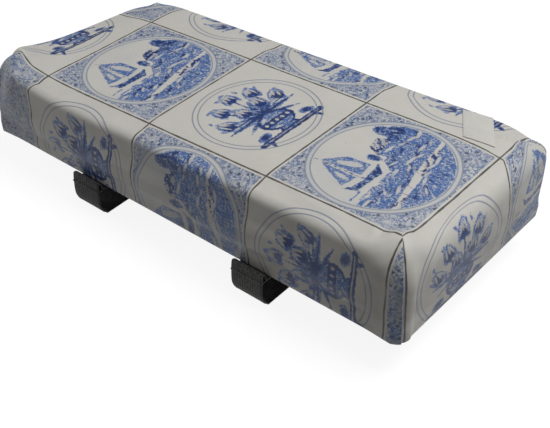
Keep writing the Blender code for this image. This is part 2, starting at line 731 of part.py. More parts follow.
def make_label():
    """A thin bare label laid on the top at a slant, its ends cut nearly along the edge."""
    across = np.linspace(-LABEL_WIDTH / 2, LABEL_WIDTH / 2, LABEL_CELLS[0] + 1)
    along = np.linspace(-LABEL_LENGTH / 2, LABEL_LENGTH / 2, LABEL_CELLS[1] + 1)
    a, b = np.meshgrid(across, along)
    x = LABEL_CENTRE[0] + a * math.cos(LABEL_END_ANGLE) - b * math.sin(LABEL_ANGLE)
    y = LABEL_CENTRE[1] + a * math.sin(LABEL_END_ANGLE) + b * math.cos(LABEL_ANGLE)
    points = np.stack([x, y, top_plane(x) + top_lift(x, y) + LABEL_GAP], axis=2)
    bm = bmesh.new()
    grid = [[bm.verts.new(point) for point in row] for row in points]
    for lower, upper in zip(grid, grid[1:]):
        for corners in zip(lower, lower[1:], upper[1:], upper):
            bm.faces.new(corners)
    raised = bmesh.ops.extrude_face_region(bm, geom=bm.faces[:])["geom"]
    moved = [item for item in raised if isinstance(item, bmesh.types.BMVert)]
    bmesh.ops.translate(bm, verts=moved, vec=(0.0, 0.0, LABEL))
    return add_object("label", mesh_from_bmesh("label", bm), "label", math.radians(40))


def make_patches(end, centre_x):
    """The loop patch under the strap's inner end and the hook patch on its outer end."""
    size = (PATCH_WIDTH, PATCH_LENGTH, PATCH)
    loop_z = STRAP_INNER_RUN - WEBBING / 2 - CLEARANCE - PATCH / 2
    hook_z = STRAP_OUTER_RUN + WEBBING / 2 + CLEARANCE + PATCH / 2
    box(f"{end}_loop_patch", size, (centre_x, 0.0, loop_z), "loop_tape", CLEARANCE)
    box(f"{end}_hook_patch", size, (centre_x, 0.0, hook_z), "hook_tape", CLEARANCE)


def main():
    """Build every sub-part in place."""
    cover = make_cover()
    make_foam_pad()
    board = make_board()
    lining = make_lining()
    make_label()
    for name, middle, along_x in staple_places():
        make_staple(name, middle, along_x)
    staple_holes = staple_hole_cutter()
    screw_holes = screw_hole_cutter()
    for layer in (cover, board, lining):
        cut(layer, staple_holes)
    for layer in (board, lining):
        cut(layer, screw_holes)
    for end, x in STRAP_POSITIONS.items():
        strap = make_strap(f"{end}_strap", x)
        cut(strap, screw_holes)
        make_patches(end, x)
    for place_name, x, y in screw_places():
        make_washer(f"washer_{place_name}", x, y)
        make_screw(f"screw_{place_name}", x, y)


main()
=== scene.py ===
"""Dresses the bicycle seat cushion: printed cover, label, straps and base, on a pale floor.

Lengths are metres in the cushion's own frame, +Z up and +X to the bicycle's rear.
"""
import math

import bpy
import numpy as np
from mathutils import Matrix, Vector


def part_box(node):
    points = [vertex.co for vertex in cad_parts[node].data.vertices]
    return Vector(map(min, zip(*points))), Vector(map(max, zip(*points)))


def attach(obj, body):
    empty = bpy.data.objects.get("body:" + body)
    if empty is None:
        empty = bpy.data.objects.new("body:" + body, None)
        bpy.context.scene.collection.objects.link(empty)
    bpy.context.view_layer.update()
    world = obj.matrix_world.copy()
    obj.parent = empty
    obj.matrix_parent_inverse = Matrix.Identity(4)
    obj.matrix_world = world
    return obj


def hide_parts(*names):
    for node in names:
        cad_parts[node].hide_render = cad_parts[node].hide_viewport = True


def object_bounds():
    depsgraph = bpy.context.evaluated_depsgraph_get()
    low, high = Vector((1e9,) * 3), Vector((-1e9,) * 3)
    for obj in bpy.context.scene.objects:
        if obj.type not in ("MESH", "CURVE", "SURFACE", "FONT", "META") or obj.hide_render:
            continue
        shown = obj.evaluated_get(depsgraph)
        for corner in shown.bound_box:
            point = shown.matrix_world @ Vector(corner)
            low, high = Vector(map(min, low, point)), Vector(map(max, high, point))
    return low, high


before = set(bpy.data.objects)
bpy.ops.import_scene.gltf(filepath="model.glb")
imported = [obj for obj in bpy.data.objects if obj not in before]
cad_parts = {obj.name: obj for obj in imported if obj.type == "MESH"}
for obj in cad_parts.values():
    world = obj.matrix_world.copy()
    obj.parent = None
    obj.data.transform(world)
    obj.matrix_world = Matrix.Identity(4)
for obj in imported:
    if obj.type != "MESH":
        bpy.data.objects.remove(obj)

bl_info = {
    "name": "Bicycle Seat Cushion",
    "version": (1, 0, 0),
    "blender": (4, 5, 0),
    "location": "3D View > Sidebar > Cushion",
    "description": "Builds the printed cover, label, straps and base of a bicycle seat cushion",
    "category": "Object",
}

CAD_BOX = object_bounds()
HEM_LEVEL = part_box("cover")[0][2]
FOAM_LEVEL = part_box("foam_pad")[0][2]

CORNERS = {"front_right": (-1, -1), "rear_right": (1, -1), "rear_left": (1, 1), "front_left": (-1, 1)}
# The corners after each side, once round the body from the right side
TURNS = ((1, -1), (1, 1), (-1, 1), (-1, -1))
# Cells of the cover's grid: along, across, round a corner and down the wall
FINE_CELLS = (300, 120, 16, 44)
COARSE_CELLS = (60, 24, 4, 11)
# Rows of the hem's bend and of its flat part, and the length turned back at its edge
BEND_ROWS = 4
HEM_ROWS = 5
HEM_RETURN = 0.004
# The side's curve: its steps, the most of the wall that its round may take, and the
# angle between the two columns at a fold's edge
CURVE_STEPS = 60
ROUND_SHARE = 0.96
FOLD_GAP = math.radians(1.6)
# How the rear end's print is drawn: what fades to its left, and where it starts
GATHER_FADE = 0.12
ADVANCE_LENGTH = 0.008
CLOTH = {"quality": 6, "mass": 0.35, "tension_stiffness": 60, "compression_stiffness": 60,
         "shear_stiffness": 25, "bending_stiffness": 2.0, "use_pressure": True}
LABEL_CELLS = (28, 44)
LABEL_CROWN = 0.00025
SEAM_DEPTH = 0.00015
SEAM_PLACE = 0.88
SEAM_WIDTH = 0.035
STRAP_CELLS = 24
STRAP_STEPS = 14
STRAP_WANDER = 0.0003
# Gaps between the strap's fold and the hem
FOOT_GAP = 0.0003
CREST_GAP = 0.0006
# Angles in degrees over which an edge stays sharp
SHARP_FOLD = 50
SHARP_EDGE = 40
PICTURE_RADIUS = 0.428
# The camera's directions, measured on the level print
VIEW_FORWARD = (-0.54688975, 0.577919, -0.60574023)
VIEW_RIGHT = (0.75665043, 0.65085665, -0.06217507)
FLOOR_REACH = 6.0
FLOOR_GAP = 0.0002


# Arrays

def smoothstep(value):
    """Ramp from 0 to 1 with level ends: three times the square less twice the cube."""
    limited = np.clip(value, 0.0, 1.0)
    return limited * limited * (3.0 - 2.0 * limited)


def grid_sample(values, first, second):
    """Values of a 2-D table read between its entries, linearly along both directions."""
    i = np.clip(np.floor(first).astype(int), 0, values.shape[0] - 2)
    j = np.clip(np.floor(second).astype(int), 0, values.shape[1] - 2)
    a = (first - i)[..., None]
    b = (second - j)[..., None]
    low = values[i, j] * (1 - b) + values[i, j + 1] * b
    high = values[i + 1, j] * (1 - b) + values[i + 1, j + 1] * b
    return low * (1 - a) + high * a


def height_on(table, x, y):
    """Heights of a nearly regular table of points at given places: the cell numbers are
    stepped by what is left of the way until they meet the places."""
    last = np.array(table.shape[:2]) - 1
    low = table[0, 0, :2]
    cell = (table[-1, -1, :2] - low) / last
    i = np.clip((x - low[0]) / cell[0], 0, last[0])
    j = np.clip((y - low[1]) / cell[1], 0, last[1])
    for _ in range(12):
        found = grid_sample(table, i, j)
        i = np.clip(i + (x - found[..., 0]) / cell[0], 0, last[0])
        j = np.clip(j + (y - found[..., 1]) / cell[1], 0, last[1])
    return grid_sample(table, i, j)[..., 2]


def level(vectors):
    """Directions in the plan as level directions in space, one for each column."""
    return np.concatenate([vectors, np.zeros((len(vectors), 1))], axis=1)[:, None, :]


def quads(index):
    """Faces between the neighbours in a table of point numbers."""
    return np.stack([index[:-1, :-1], index[1:, :-1], index[1:, 1:], index[:-1, 1:]], -1)


def add_mesh(name, points, corners, starts, sharp=None):
    """Make a smooth object from points, the point number of every face corner and the
    first corner of every face. Edges over the sharp angle, in degrees, stay sharp."""
    mesh = bpy.data.meshes.new(name)
    mesh.vertices.add(len(points))
    mesh.vertices.foreach_set("co", np.asarray(points, dtype=np.float32).ravel())
    mesh.loops.add(len(corners))
    mesh.loops.foreach_set("vertex_index", np.asarray(corners, dtype=np.int32))
    mesh.polygons.add(len(starts))
    mesh.polygons.foreach_set("loop_start", np.asarray(starts, dtype=np.int32))
    mesh.update(calc_edges=True)
    mesh.shade_smooth()
    if sharp:
        mesh.set_sharp_from_angle(angle=math.radians(sharp))
    piece = bpy.data.objects.new(name, mesh)
    bpy.context.scene.collection.objects.link(piece)
    return piece


def add_quads(name, points, faces, sharp=None):
    """Make an object from points and four-cornered faces."""
    piece = add_mesh(name, points, np.ravel(faces), np.arange(len(faces)) * 4, sharp)
    piece.data.validate()
    return piece


def united(faces):
    """Quads of which some have two corners at one point, which makes them triangles.
    Gives the face and place of every corner, quads first, and each face's first corner."""
    doubled = faces == np.roll(faces, 1, axis=1)
    whole = np.nonzero(~doubled.any(axis=1))[0]
    cut = np.nonzero(doubled.any(axis=1))[0]
    rest = (doubled[cut].argmax(axis=1)[:, None] + np.array([1, 2, 3])) % 4
    face = np.concatenate([np.repeat(whole, 4), np.repeat(cut, 3)])
    place = np.concatenate([np.tile(np.arange(4), len(whole)), rest.ravel()])
    starts = np.concatenate([np.arange(len(whole)) * 4, len(whole) * 4 + np.arange(len(cut)) * 3])
    return face, place, starts


# The cover's shape

class CoverShape:
    """The stretched cover as a function of grid coordinates, from the sizes in the panel."""

    def __init__(self, props):
        self.props = props
        self.core_x = props.length / 2 - props.plan_radius
        self.core_y = props.width / 2 - props.plan_radius
        self.pull, self.round, self.lift, self.lift_reach = (
            dict(zip(CORNERS, values))
            for values in (props.corner_pull, props.corner_round, props.corner_lift, props.lift_reach))
        self.foot = HEM_LEVEL + props.hem_bend

    def square(self, name, x, y):
        """Square of the distance from one corner of the flat top."""
        side_x, side_y = CORNERS[name]
        return (side_x * self.core_x - x) ** 2 + (side_y * self.core_y - y) ** 2

    def lean(self, x, y):
        """How far the top of the front end is moved to the rear, most at its left."""
        p = self.props
        amount = p.lean_middle + p.lean_slant * y / self.core_y
        return amount * smoothstep(1 - (self.core_x + x) / p.lean_reach)

    def top(self, x, y):
        """Points of the top: a sloping plane, its edges moved in to leave room for their
        round, its corners pulled in by bell curves and lifted by wider bell curves, the
        front end leaning and the rear end drooping a little."""
        p = self.props
        near_end = np.exp(-((self.core_x - np.abs(x)) / p.corner_reach) ** 2)
        near_side = np.exp(-((self.core_y - np.abs(y)) / p.corner_reach) ** 2)
        end_round = np.where(x < 0, p.front_round, p.rear_round)
        new_x = x + x / self.core_x * (p.plan_radius - end_round) * (1 - near_side) + self.lean(x, y)
        new_y = y + y / self.core_y * (p.plan_radius - p.side_round) * (1 - near_end)
        z = p.height + p.slope * x
        for name, (side_x, side_y) in CORNERS.items():
            square = self.square(name, x, y)
            close = np.exp(-square / p.corner_reach ** 2)
            new_x = new_x - side_x * self.pull[name] * close
            new_y = new_y - side_y * self.pull[name] * close
            z = z + self.lift[name] * np.exp(-square / self.lift_reach[name] ** 2)
        z = z - p.rear_droop * smoothstep((x - p.droop_start) / p.droop_length)
        return np.stack([new_x, new_y, z], axis=-1)

    def columns(self, long_cells, short_cells, fan_cells):
        """Columns once round the body, anticlockwise from above.

        Gives base points, outward directions, positions round the body (two for each
        side and corner), the turned angle from the long side, and the printed length
        along the edge at the rim.
        """
        arc = self.props.plan_radius
        edge = math.radians(self.props.fold_angle)
        share = edge / (math.pi / 2)
        first = max(int(round(fan_cells * share)), 2)
        last = fan_cells - first
        fan = np.concatenate([np.linspace(0, edge - FOLD_GAP / 2, first + 1)[1:],
                              np.linspace(edge + FOLD_GAP / 2, math.pi / 2, last + 2)[:-1]])
        fan_place = np.concatenate([np.linspace(0, share, first + 2)[1:-1],
                                    np.linspace(share, 1, last + 3)[1:-1]])
        xs = np.linspace(-self.core_x, self.core_x, long_cells + 1)
        ys = np.linspace(-self.core_y, self.core_y, short_cells + 1)
        parts = []
        for k, (run, (side_x, side_y)) in enumerate(zip((xs, ys, xs[::-1], ys[::-1]), TURNS)):
            is_long = k % 2 == 0
            sign = side_y if is_long else side_x
            still = np.full_like(run, sign * (self.core_y if is_long else self.core_x))
            points = np.stack([run, still] if is_long else [still, run], 1)
            direction = (0, sign) if is_long else (sign, 0)
            count = len(run)
            parts.append((points, np.tile(direction, (count, 1)), 2 * k + np.linspace(0, 1, count),
                          np.full(count, 0.0 if is_long else math.pi / 2), run, np.full(count, is_long)))
            turned = fan if is_long else fan[::-1]
            places = fan_place if is_long else 1 - fan_place[::-1]
            along_long = side_x * (self.core_x + arc * turned)
            along_end = side_y * (self.core_y + arc * (math.pi / 2 - turned))
            parts.append((np.tile([side_x * self.core_x, side_y * self.core_y], (len(fan), 1)),
                          np.stack([side_x * np.sin(turned), side_y * np.cos(turned)], axis=1),
                          2 * k + 1 + places, turned, np.where(turned < edge, along_long, along_end),
                          turned < edge))
        joined = [np.concatenate(part) for part in zip(*parts)]
        return dict(zip(("base", "outward", "place", "angle", "rim", "long"), joined))

    def blend_sides(self, outward, left, right, front, rear):
        """One value per column, shared between the two sides that meet at a corner."""
        across = np.abs(outward)
        y_value = np.where(outward[:, 1] > 0, left, right)
        x_value = np.where(outward[:, 0] < 0, front, rear)
        return (across[:, 1] * y_value + across[:, 0] * x_value) / across.sum(axis=1)

    def side(self, columns, rows):
        """Points of the side by column and row, each point's way out of the top's edge
        and the length of cloth above it.

        A quarter ellipse turns the top into the side, then the side falls straight,
        bulges as half a sine wave and draws in with a power of its depth. The curve is
        measured out evenly, so that the rows lie the same length of cloth apart.
        """
        p = self.props
        base, outward = columns["base"], columns["outward"]
        x, y = base.T
        close = {name: np.exp(-self.square(name, x, y) / p.corner_reach ** 2) for name in CORNERS}
        gathered = np.clip(sum(close.values()), 0, 1)
        plain = self.blend_sides(outward, p.side_round, p.side_round, p.front_round, p.rear_round)
        round_depth = sum(self.round[name] * close[name] for name in CORNERS)
        round_depth = round_depth + (1 - gathered) * plain
        flat_top = (p.height + p.slope * x)[:, None]
        wall = flat_top - self.foot
        round_depth = np.minimum(round_depth[:, None], wall * ROUND_SHARE)
        turned = np.linspace(0, math.pi / 2, CURVE_STEPS + 1)[None, :]
        straight = np.linspace(0, 1, CURVE_STEPS + 1)[None, 1:]
        drop = np.hstack([round_depth * (1 - np.cos(turned)),
                          round_depth + (wall - round_depth) * straight])
        reach = np.hstack([np.repeat(np.sin(turned), len(x), 0), np.ones((len(x), CURVE_STEPS))])
        depth = drop / wall
        tuck = self.blend_sides(outward, *p.side_tuck)[:, None]
        swell = p.side_bulge * (1 - gathered)[:, None] * np.sin(math.pi * depth)
        swell = swell - tuck * depth ** p.tuck_power
        edge = self.top(x, y)
        rim = (base + outward * p.plan_radius)[:, None, :].repeat(drop.shape[1], axis=1)
        rim[:, :, 0] += self.lean(x, y)[:, None] * (1 - depth)
        plan = edge[:, None, :2] + (rim - edge[:, None, :2]) * reach[:, :, None]
        plan = plan + outward[:, None, :] * swell[:, :, None]
        z = flat_top - drop + (edge[:, 2:] - flat_top) * (1 - depth)
        dense = np.concatenate([plan, z[:, :, None], reach[:, :, None]], axis=2)
        steps = np.linalg.norm(np.diff(dense[:, :, :3], axis=1), axis=2)
        length = np.hstack([np.zeros((len(x), 1)), np.cumsum(steps, axis=1)])
        share = np.linspace(0, 1, rows + 1)
        curve = np.empty((len(x), rows + 1, 4))
        for index, reached in enumerate(length):
            for axis in range(4):
                curve[index, :, axis] = np.interp(share * reached[-1], reached, dense[index, :, axis])
        return curve[:, :, :3], curve[:, :, 3], share[None, :] * length[:, -1:]

    def hem(self, last, outward):
        """Rows that turn the cloth under in a quarter circle."""
        bend = np.linspace(0, math.pi / 2, BEND_ROWS + 1)[None, 1:, None]
        radius = self.props.hem_bend
        down = np.array([0.0, 0.0, 1.0])
        return last[:, None, :] - level(outward) * radius * (1 - np.cos(bend)) - down * radius * np.sin(bend)


def cover_nodes(shape, cells):
    """Rest positions of the whole cover on one grid: the top's table, the side's table
    down to the hem's inner edge, and the side's printed lengths and columns."""
    p = shape.props
    wall_rows = cells[3]
    xs = np.linspace(-shape.core_x, shape.core_x, cells[0] + 1)
    ys = np.linspace(-shape.core_y, shape.core_y, cells[1] + 1)
    top = shape.top(*np.meshgrid(xs, ys, indexing="ij"))
    columns = shape.columns(*cells[:3])
    base, outward = columns["base"], columns["outward"]
    wall, reach, down = shape.side(columns, wall_rows)
    turned = shape.hem(wall[:, -1], outward)
    along_end, along_side = shape.core_x - np.abs(base[:, 0]), shape.core_y - np.abs(base[:, 1])
    along = np.where(columns["long"], along_end, along_side)
    inner = base + outward * np.maximum(p.hem_inner, p.hem_trim - along)[:, None]
    target = np.concatenate([inner, np.full((len(base), 1), HEM_LEVEL)], axis=1)[:, None]
    run = np.linspace(0, 1, HEM_ROWS + 1)[None, 1:, None]
    flat = turned[:, -1:] + (target - turned[:, -1:]) * run
    lip = target + np.array([0.0, 0.0, p.cloth])
    back = lip + level(outward) * HEM_RETURN
    side = np.concatenate([wall, turned, flat, lip, back], axis=1)
    extra = np.cumsum(np.linalg.norm(np.diff(side[:, wall_rows:], axis=1), axis=2), axis=1)
    printed = np.hstack([down, down[:, -1:] + extra])
    reach = np.hstack([reach, np.ones_like(extra)])
    return top, side, printed, reach, columns


def printed_coordinates(shape, top, side, printed, reach, columns):
    """The print's place in tile units. On the top it lies straight. Down a long side
    the cross lines fall straight and the length of cloth counts away from the top's
    edge, and down an end likewise with the two directions exchanged. Down the rear end
    the whole print is drawn towards the right side and up over the edge, and the right
    side's print a little towards that fold. On the top near the front right corner it is
    drawn inwards."""
    p = shape.props

    def drawn_in(x, y):
        near_end = smoothstep((-x - shape.core_x + p.draw_length) / p.draw_length)
        near_side = smoothstep(1 - (y + shape.core_y) / p.draw_length / 2)
        return p.draw_in * near_end * near_side

    def in_tiles(x, y):
        return np.stack([x / p.tile + p.tile_u, y / p.tile + p.tile_v], -1)

    edge_x, edge_y = side[:, :1, 0], side[:, :1, 1]
    sign_x, sign_y = (np.sign(columns["base"][:, k])[:, None] for k in (0, 1))
    rim, long_side = columns["rim"][:, None], columns["long"][:, None]
    along_x = edge_x + (rim - edge_x) * reach
    along_y = edge_y + (rim - edge_y) * reach
    from_right = np.clip((along_y + shape.core_y) / (2 * shape.core_y), 0, 1)
    along_y = along_y + np.where(sign_x > 0, p.gather * (1 - GATHER_FADE * from_right) * reach, 0.0)
    ahead = p.end_advance * smoothstep(printed / ADVANCE_LENGTH) + p.end_stretch * printed
    to_end = shape.core_x + p.plan_radius - along_x
    rear_right = np.where((sign_x > 0) & (sign_y < 0), reach, 0.0)
    along_x = along_x - p.side_gather * smoothstep(1 - to_end / p.gather_length) * rear_right
    x = np.where(long_side, along_x, edge_x + sign_x * (printed + np.where(sign_x > 0, ahead, 0.0)))
    y = np.where(long_side, edge_y + sign_y * printed, along_y) - drawn_in(edge_x, edge_y)
    top_x, top_y = top[..., 0], top[..., 1]
    return in_tiles(top_x, top_y - drawn_in(top_x, top_y)), in_tiles(x, y)


def joined_tables(top, side):
    """Points of both tables in one list, and the faces as numbers in it, the top's first.
    The side's first row is the top's edge, and each corner's fan meets in one point, so
    every point also gets the number of the one whose place it shares."""
    top_index = np.arange(top[..., 0].size).reshape(top.shape[:2])
    side_index = top_index.size + np.arange(side[..., 0].size).reshape(side.shape[:2])
    side_faces = quads(np.concatenate([side_index, side_index[:1]]))[..., [0, 3, 2, 1]]
    faces = np.concatenate([quads(top_index).reshape(-1, 4), side_faces.reshape(-1, 4)])
    fan = np.ones((len(side) - 2 * sum(top_index.shape)) // 4, dtype=int)
    points = np.concatenate([top.reshape(-1, 3), side.reshape(-1, 3)])
    shared = np.arange(len(points))
    shared[side_index[:, 0]] = np.concatenate([
        top_index[:, 0], fan * top_index[-1, 0], top_index[-1, :], fan * top_index[-1, -1],
        top_index[::-1, -1], fan * top_index[0, -1], top_index[0, ::-1], fan * top_index[0, 0]])
    return points, faces, shared, top_index, side_index


def pressed_displacement(shape, cells, press):
    """Swell a coarse copy of the cover under pressure and return how its points move.

    The cloth starts a little inside its place, is held at the hem, and is blown out
    for twenty frames. The four corner points, which each carry a whole fan, move as
    their neighbours do. Each point's movement is limited by a soft cap, and the top's
    mean rise is taken out again, so that its level stays.
    """
    top, side, _, _, columns = cover_nodes(shape, cells)
    points, faces, shared, top_index, side_index = joined_tables(top, side)
    middle = points.mean(axis=0)
    half = np.array([shape.props.length, shape.props.width, shape.props.height]) / 2
    start = middle + (points - middle) * (1 - press.start_inset / half)
    held_nodes = side_index[:, cells[3] - 1:].ravel()
    start[held_nodes] = points[held_nodes]
    used, compact = np.unique(shared[faces], return_inverse=True)
    faces = compact.reshape(faces.shape)
    whole = faces[(faces != np.roll(faces, 1, axis=1)).all(axis=1)]
    piece = add_quads("cover_press", start[used], whole)
    group = piece.vertex_groups.new(name="held")
    held = np.nonzero(np.isin(used, shared[held_nodes]))[0]
    group.add(held.tolist(), 1.0, "REPLACE")
    cloth = piece.modifiers.new("Cloth", "CLOTH").settings
    for name, value in CLOTH.items():
        setattr(cloth, name, value)
    cloth.uniform_pressure_force = press.pressure
    cloth.effector_weights.gravity = 0
    cloth.vertex_group_mass = "held"
    for step in range(1, press.frames + 1):
        bpy.context.scene.frame_set(step)
    evaluated = piece.evaluated_get(bpy.context.evaluated_depsgraph_get()).to_mesh()
    moved = np.empty(len(used) * 3, dtype=np.float32)
    evaluated.vertices.foreach_get("co", moved)
    bpy.context.scene.frame_set(1)
    bpy.data.objects.remove(piece, do_unlink=True)
    shift = np.zeros_like(points)
    shift[used] = moved.reshape(-1, 3) - points[used]
    for i, j in ((0, 0), (0, -1), (-1, 0), (-1, -1)):
        beside = [top_index[i, 1 if j == 0 else -2], top_index[1 if i == 0 else -2, j]]
        shift[top_index[i, j]] = shift[beside].mean(axis=0)
    shift = shift[shared]
    size = np.linalg.norm(shift, axis=1, keepdims=True)
    shift = shift * (press.cap * np.tanh(size / press.cap) / np.maximum(size, 1e-9))
    rise = shift[top_index][..., 2].mean()
    shift[:, 2] -= rise * np.clip(points[:, 2] / shape.props.height, 0, 1)
    return shift[top_index], shift[side_index], columns


def build_foam(shape, cells, swelling):
    """The foam inside the cover: a coarse copy of the swollen cover, drawn in towards the
    middle of its flat underside and cut off level there."""
    top, side, _, _, _ = cover_nodes(shape, cells)
    rows = cells[3] + 1
    wall = side[:, :rows] + swelling[1][:, :rows]
    points, faces, shared, _, side_index = joined_tables(top + swelling[0], wall)
    middle = np.array([0.0, 0.0, FOAM_LEVEL])
    half = np.array([shape.props.length / 2, shape.props.width / 2, shape.props.height - FOAM_LEVEL])
    points = middle + (points - middle) * (1 - shape.props.foam_inset / half)
    points[:, 2] = np.maximum(points[:, 2], FOAM_LEVEL)
    faces = shared[faces]
    face, place, starts = united(faces)
    corners = np.concatenate([faces[face, place], side_index[::-1, -1]])
    used, corners = np.unique(corners, return_inverse=True)
    piece = add_mesh("foam_block", points[used], corners, np.append(starts, len(face)), SHARP_EDGE)
    piece.data.validate()
    return piece


def swell(top, side, columns, cells, coarse_cells, swelling):
    """Move the fine tables by the coarse swelling, read between its points."""
    top_shift, side_shift, coarse_columns = swelling
    i, j = np.meshgrid(np.linspace(0, coarse_cells[0], cells[0] + 1),
                       np.linspace(0, coarse_cells[1], cells[1] + 1), indexing="ij")
    wrapped = np.concatenate([side_shift, side_shift[:1]])
    place = np.append(coarse_columns["place"], 8.0)
    column = np.interp(columns["place"], place, np.arange(len(place)))
    row = np.linspace(0, coarse_cells[3], cells[3] + 1)
    row = np.append(row, np.full(side.shape[1] - len(row), coarse_cells[3]))
    a, b = np.meshgrid(column, row, indexing="ij")
    return top + grid_sample(top_shift, i, j), side + grid_sample(wrapped, a, b)


def build_cover(shape, cells, coarse_cells, swelling):
    """Make the printed cover: fine grid, pressed swelling, folds, waves and print fields."""
    top, side, printed, reach, columns = cover_nodes(shape, cells)
    top_print, side_print = printed_coordinates(shape, top, side, printed, reach, columns)
    top, side = swell(top, side, columns, cells, coarse_cells, swelling)
    side = add_relief(shape, side, side_print, columns, cells[3])
    points, faces, shared, _, _ = joined_tables(top, side)
    uv = np.concatenate([top_print.reshape(-1, 2), side_print.reshape(-1, 2)])[faces]
    # Faces of the fold's lip carry the print of the cloth that lies on top
    long_side = columns["long"]
    lip = long_side != np.roll(long_side, -1)
    bands = side.shape[1] - 1
    lip_faces = np.arange(-len(side) * bands, 0).reshape(-1, bands)[lip]
    upper, under = lip_faces[long_side[lip]], lip_faces[~long_side[lip]]
    uv[upper, 2:] = uv[upper, 1::-1]
    uv[under, :2] = uv[under, :1:-1]
    faces = shared[faces]
    face, place, starts = united(faces)
    used, corners = np.unique(faces[face, place], return_inverse=True)
    piece = add_mesh("printed_cover", points[used], corners, starts, SHARP_FOLD)
    corner_print = uv[face, place]
    layer = piece.data.uv_layers.new(name="print")
    layer.data.foreach_set("uv", corner_print.astype(np.float32).ravel())
    for name, distance in zip(("ink_dark", "ink_middle", "ink_pale"), picture_fields(*corner_print.T)):
        ink = piece.data.attributes.new(name, "FLOAT", "CORNER")
        ink.data.foreach_set("value", distance.astype(np.float32))
    return piece


def add_relief(shape, side, side_print, columns, wall_rows):
    """Push the side's cloth in and out: the folds' raised flaps, which fade with
    the distance from the fold's edge, and soft waves as products of slow sines."""
    p = shape.props
    edge_angle = math.radians(p.fold_angle)
    straight_long = columns["long"] & (columns["angle"] == 0)
    to_end = shape.core_x - np.abs(columns["base"][:, 0]) + p.plan_radius * edge_angle
    along = np.where(straight_long, to_end, p.plan_radius * (edge_angle - columns["angle"]))
    flap = np.where(columns["long"], smoothstep(1 - along / p.fold_fade), 0.0)[:, None]
    depth = np.clip(np.arange(side.shape[1])[None, :] / wall_rows, 0, 1)
    rise = p.fold_step * flap * smoothstep(depth * 14)
    u, v = side_print[..., 0], side_print[..., 1]
    wave = 0.35 * np.sin(u * 5.1 + 0.7) * np.sin(v * 4.3 + 1.1) + 0.2 * np.sin(u * 13.0 + v * 5.0)
    rise = rise + p.wave * wave * np.sin(math.pi * depth) ** 0.7
    return side + level(columns["outward"]) * rise[:, :, None]


# Label and straps

def closed_sheet(name, upper, lower):
    """A closed thin sheet between two tables of points of the same size."""
    count = upper[..., 0].size
    index = np.arange(count).reshape(upper.shape[:2])
    over = quads(index).reshape(-1, 4)
    rim = np.concatenate([index[:, 0], index[-1, 1:], index[-2::-1, -1], index[0, -2:0:-1]])
    following = np.roll(rim, -1)
    wall = np.stack([rim, rim + count, following + count, following], -1)
    faces = np.concatenate([over, over[:, ::-1] + count, wall])
    return add_quads(name, np.concatenate([upper.reshape(-1, 3), lower.reshape(-1, 3)]), faces, SHARP_EDGE)


def build_label(props, cover):
    """The label: a slanted sheet that follows the cover's top. Its edges lie closer to
    the cloth than its middle, and its ends are drawn down a little by their seams."""
    size = (FINE_CELLS[0] + 1, FINE_CELLS[1] + 1)
    points = np.empty(len(cover.data.vertices) * 3, dtype=np.float32)
    cover.data.vertices.foreach_get("co", points)
    table = points.reshape(-1, 3)[:size[0] * size[1]].reshape(*size, 3).astype(float)
    a, b = np.meshgrid(*[np.linspace(-1, 1, count + 1) for count in LABEL_CELLS], indexing="ij")
    across, along = a * props.width / 2, b * props.length / 2
    x = props.centre[0] + across * math.cos(props.end_angle) - along * math.sin(props.angle)
    y = props.centre[1] + across * math.sin(props.end_angle) + along * math.cos(props.angle)
    lower = height_on(table, x, y) + props.gap
    raised = 1 - np.maximum(np.abs(a), np.abs(b)) ** 8
    seam = np.exp(-((np.abs(b) - SEAM_PLACE) / SEAM_WIDTH) ** 2)
    upper = lower + props.thickness + LABEL_CROWN * raised - SEAM_DEPTH * seam
    return closed_sheet("woven_label", np.stack([x, y, upper], -1), np.stack([x, y, lower], -1))


def curve_through(points, steps):
    """Places on a smooth curve through given points: each piece is a cubic with the
    slope of the line between its neighbours."""
    ends = np.concatenate([points[:1], points, points[-1:]])
    share = np.linspace(0, 1, steps, endpoint=False)[None, :, None]
    before, start, end, after = (ends[k:len(ends) - 3 + k, None, :] for k in range(4))
    cubic = (2 * start + (end - before) * share + (2 * before - 5 * start + 4 * end - after) * share ** 2
             + (3 * start - before - 3 * end + after) * share ** 3) / 2
    return np.concatenate([cubic.reshape(-1, 2), points[-1:]])


def strap_route(props, body):
    """The strap's way round in Y and Z: out under the base, up as a short fold beside
    the hem, down and back under the base, where its two ends lap."""
    low = -props.loop_depth
    outer_low = low - props.lap_gap
    turn, fold, run, crest = props.loop_turn, props.fold, props.top_run, props.crest

    def loop(side, lower):
        foot = body.width / 2 - body.side_tuck[0 if side > 0 else 1] + props.thickness / 2 + FOOT_GAP
        inner = foot + CREST_GAP + body.side_bulge * 0.3
        outer = inner + fold
        places = [(foot - turn, run), (foot - turn / 3, run), (inner - fold / 8, run + fold / 2),
                  (inner, crest - fold / 2), ((inner + outer) / 2, crest), (outer, crest - fold / 2),
                  (outer + fold / 4, (run + lower) / 2), (outer - turn / 3, lower + turn / 2),
                  (outer - turn, lower + props.thickness / 4), (outer - 2 * turn, lower)]
        return np.array(places) * (side, 1)

    return np.concatenate([[(-props.overlap / 2, low), (0.0, low)], loop(1, low)[::-1],
                           loop(-1, outer_low), [(0.0, outer_low), (props.overlap / 2, outer_low)]])


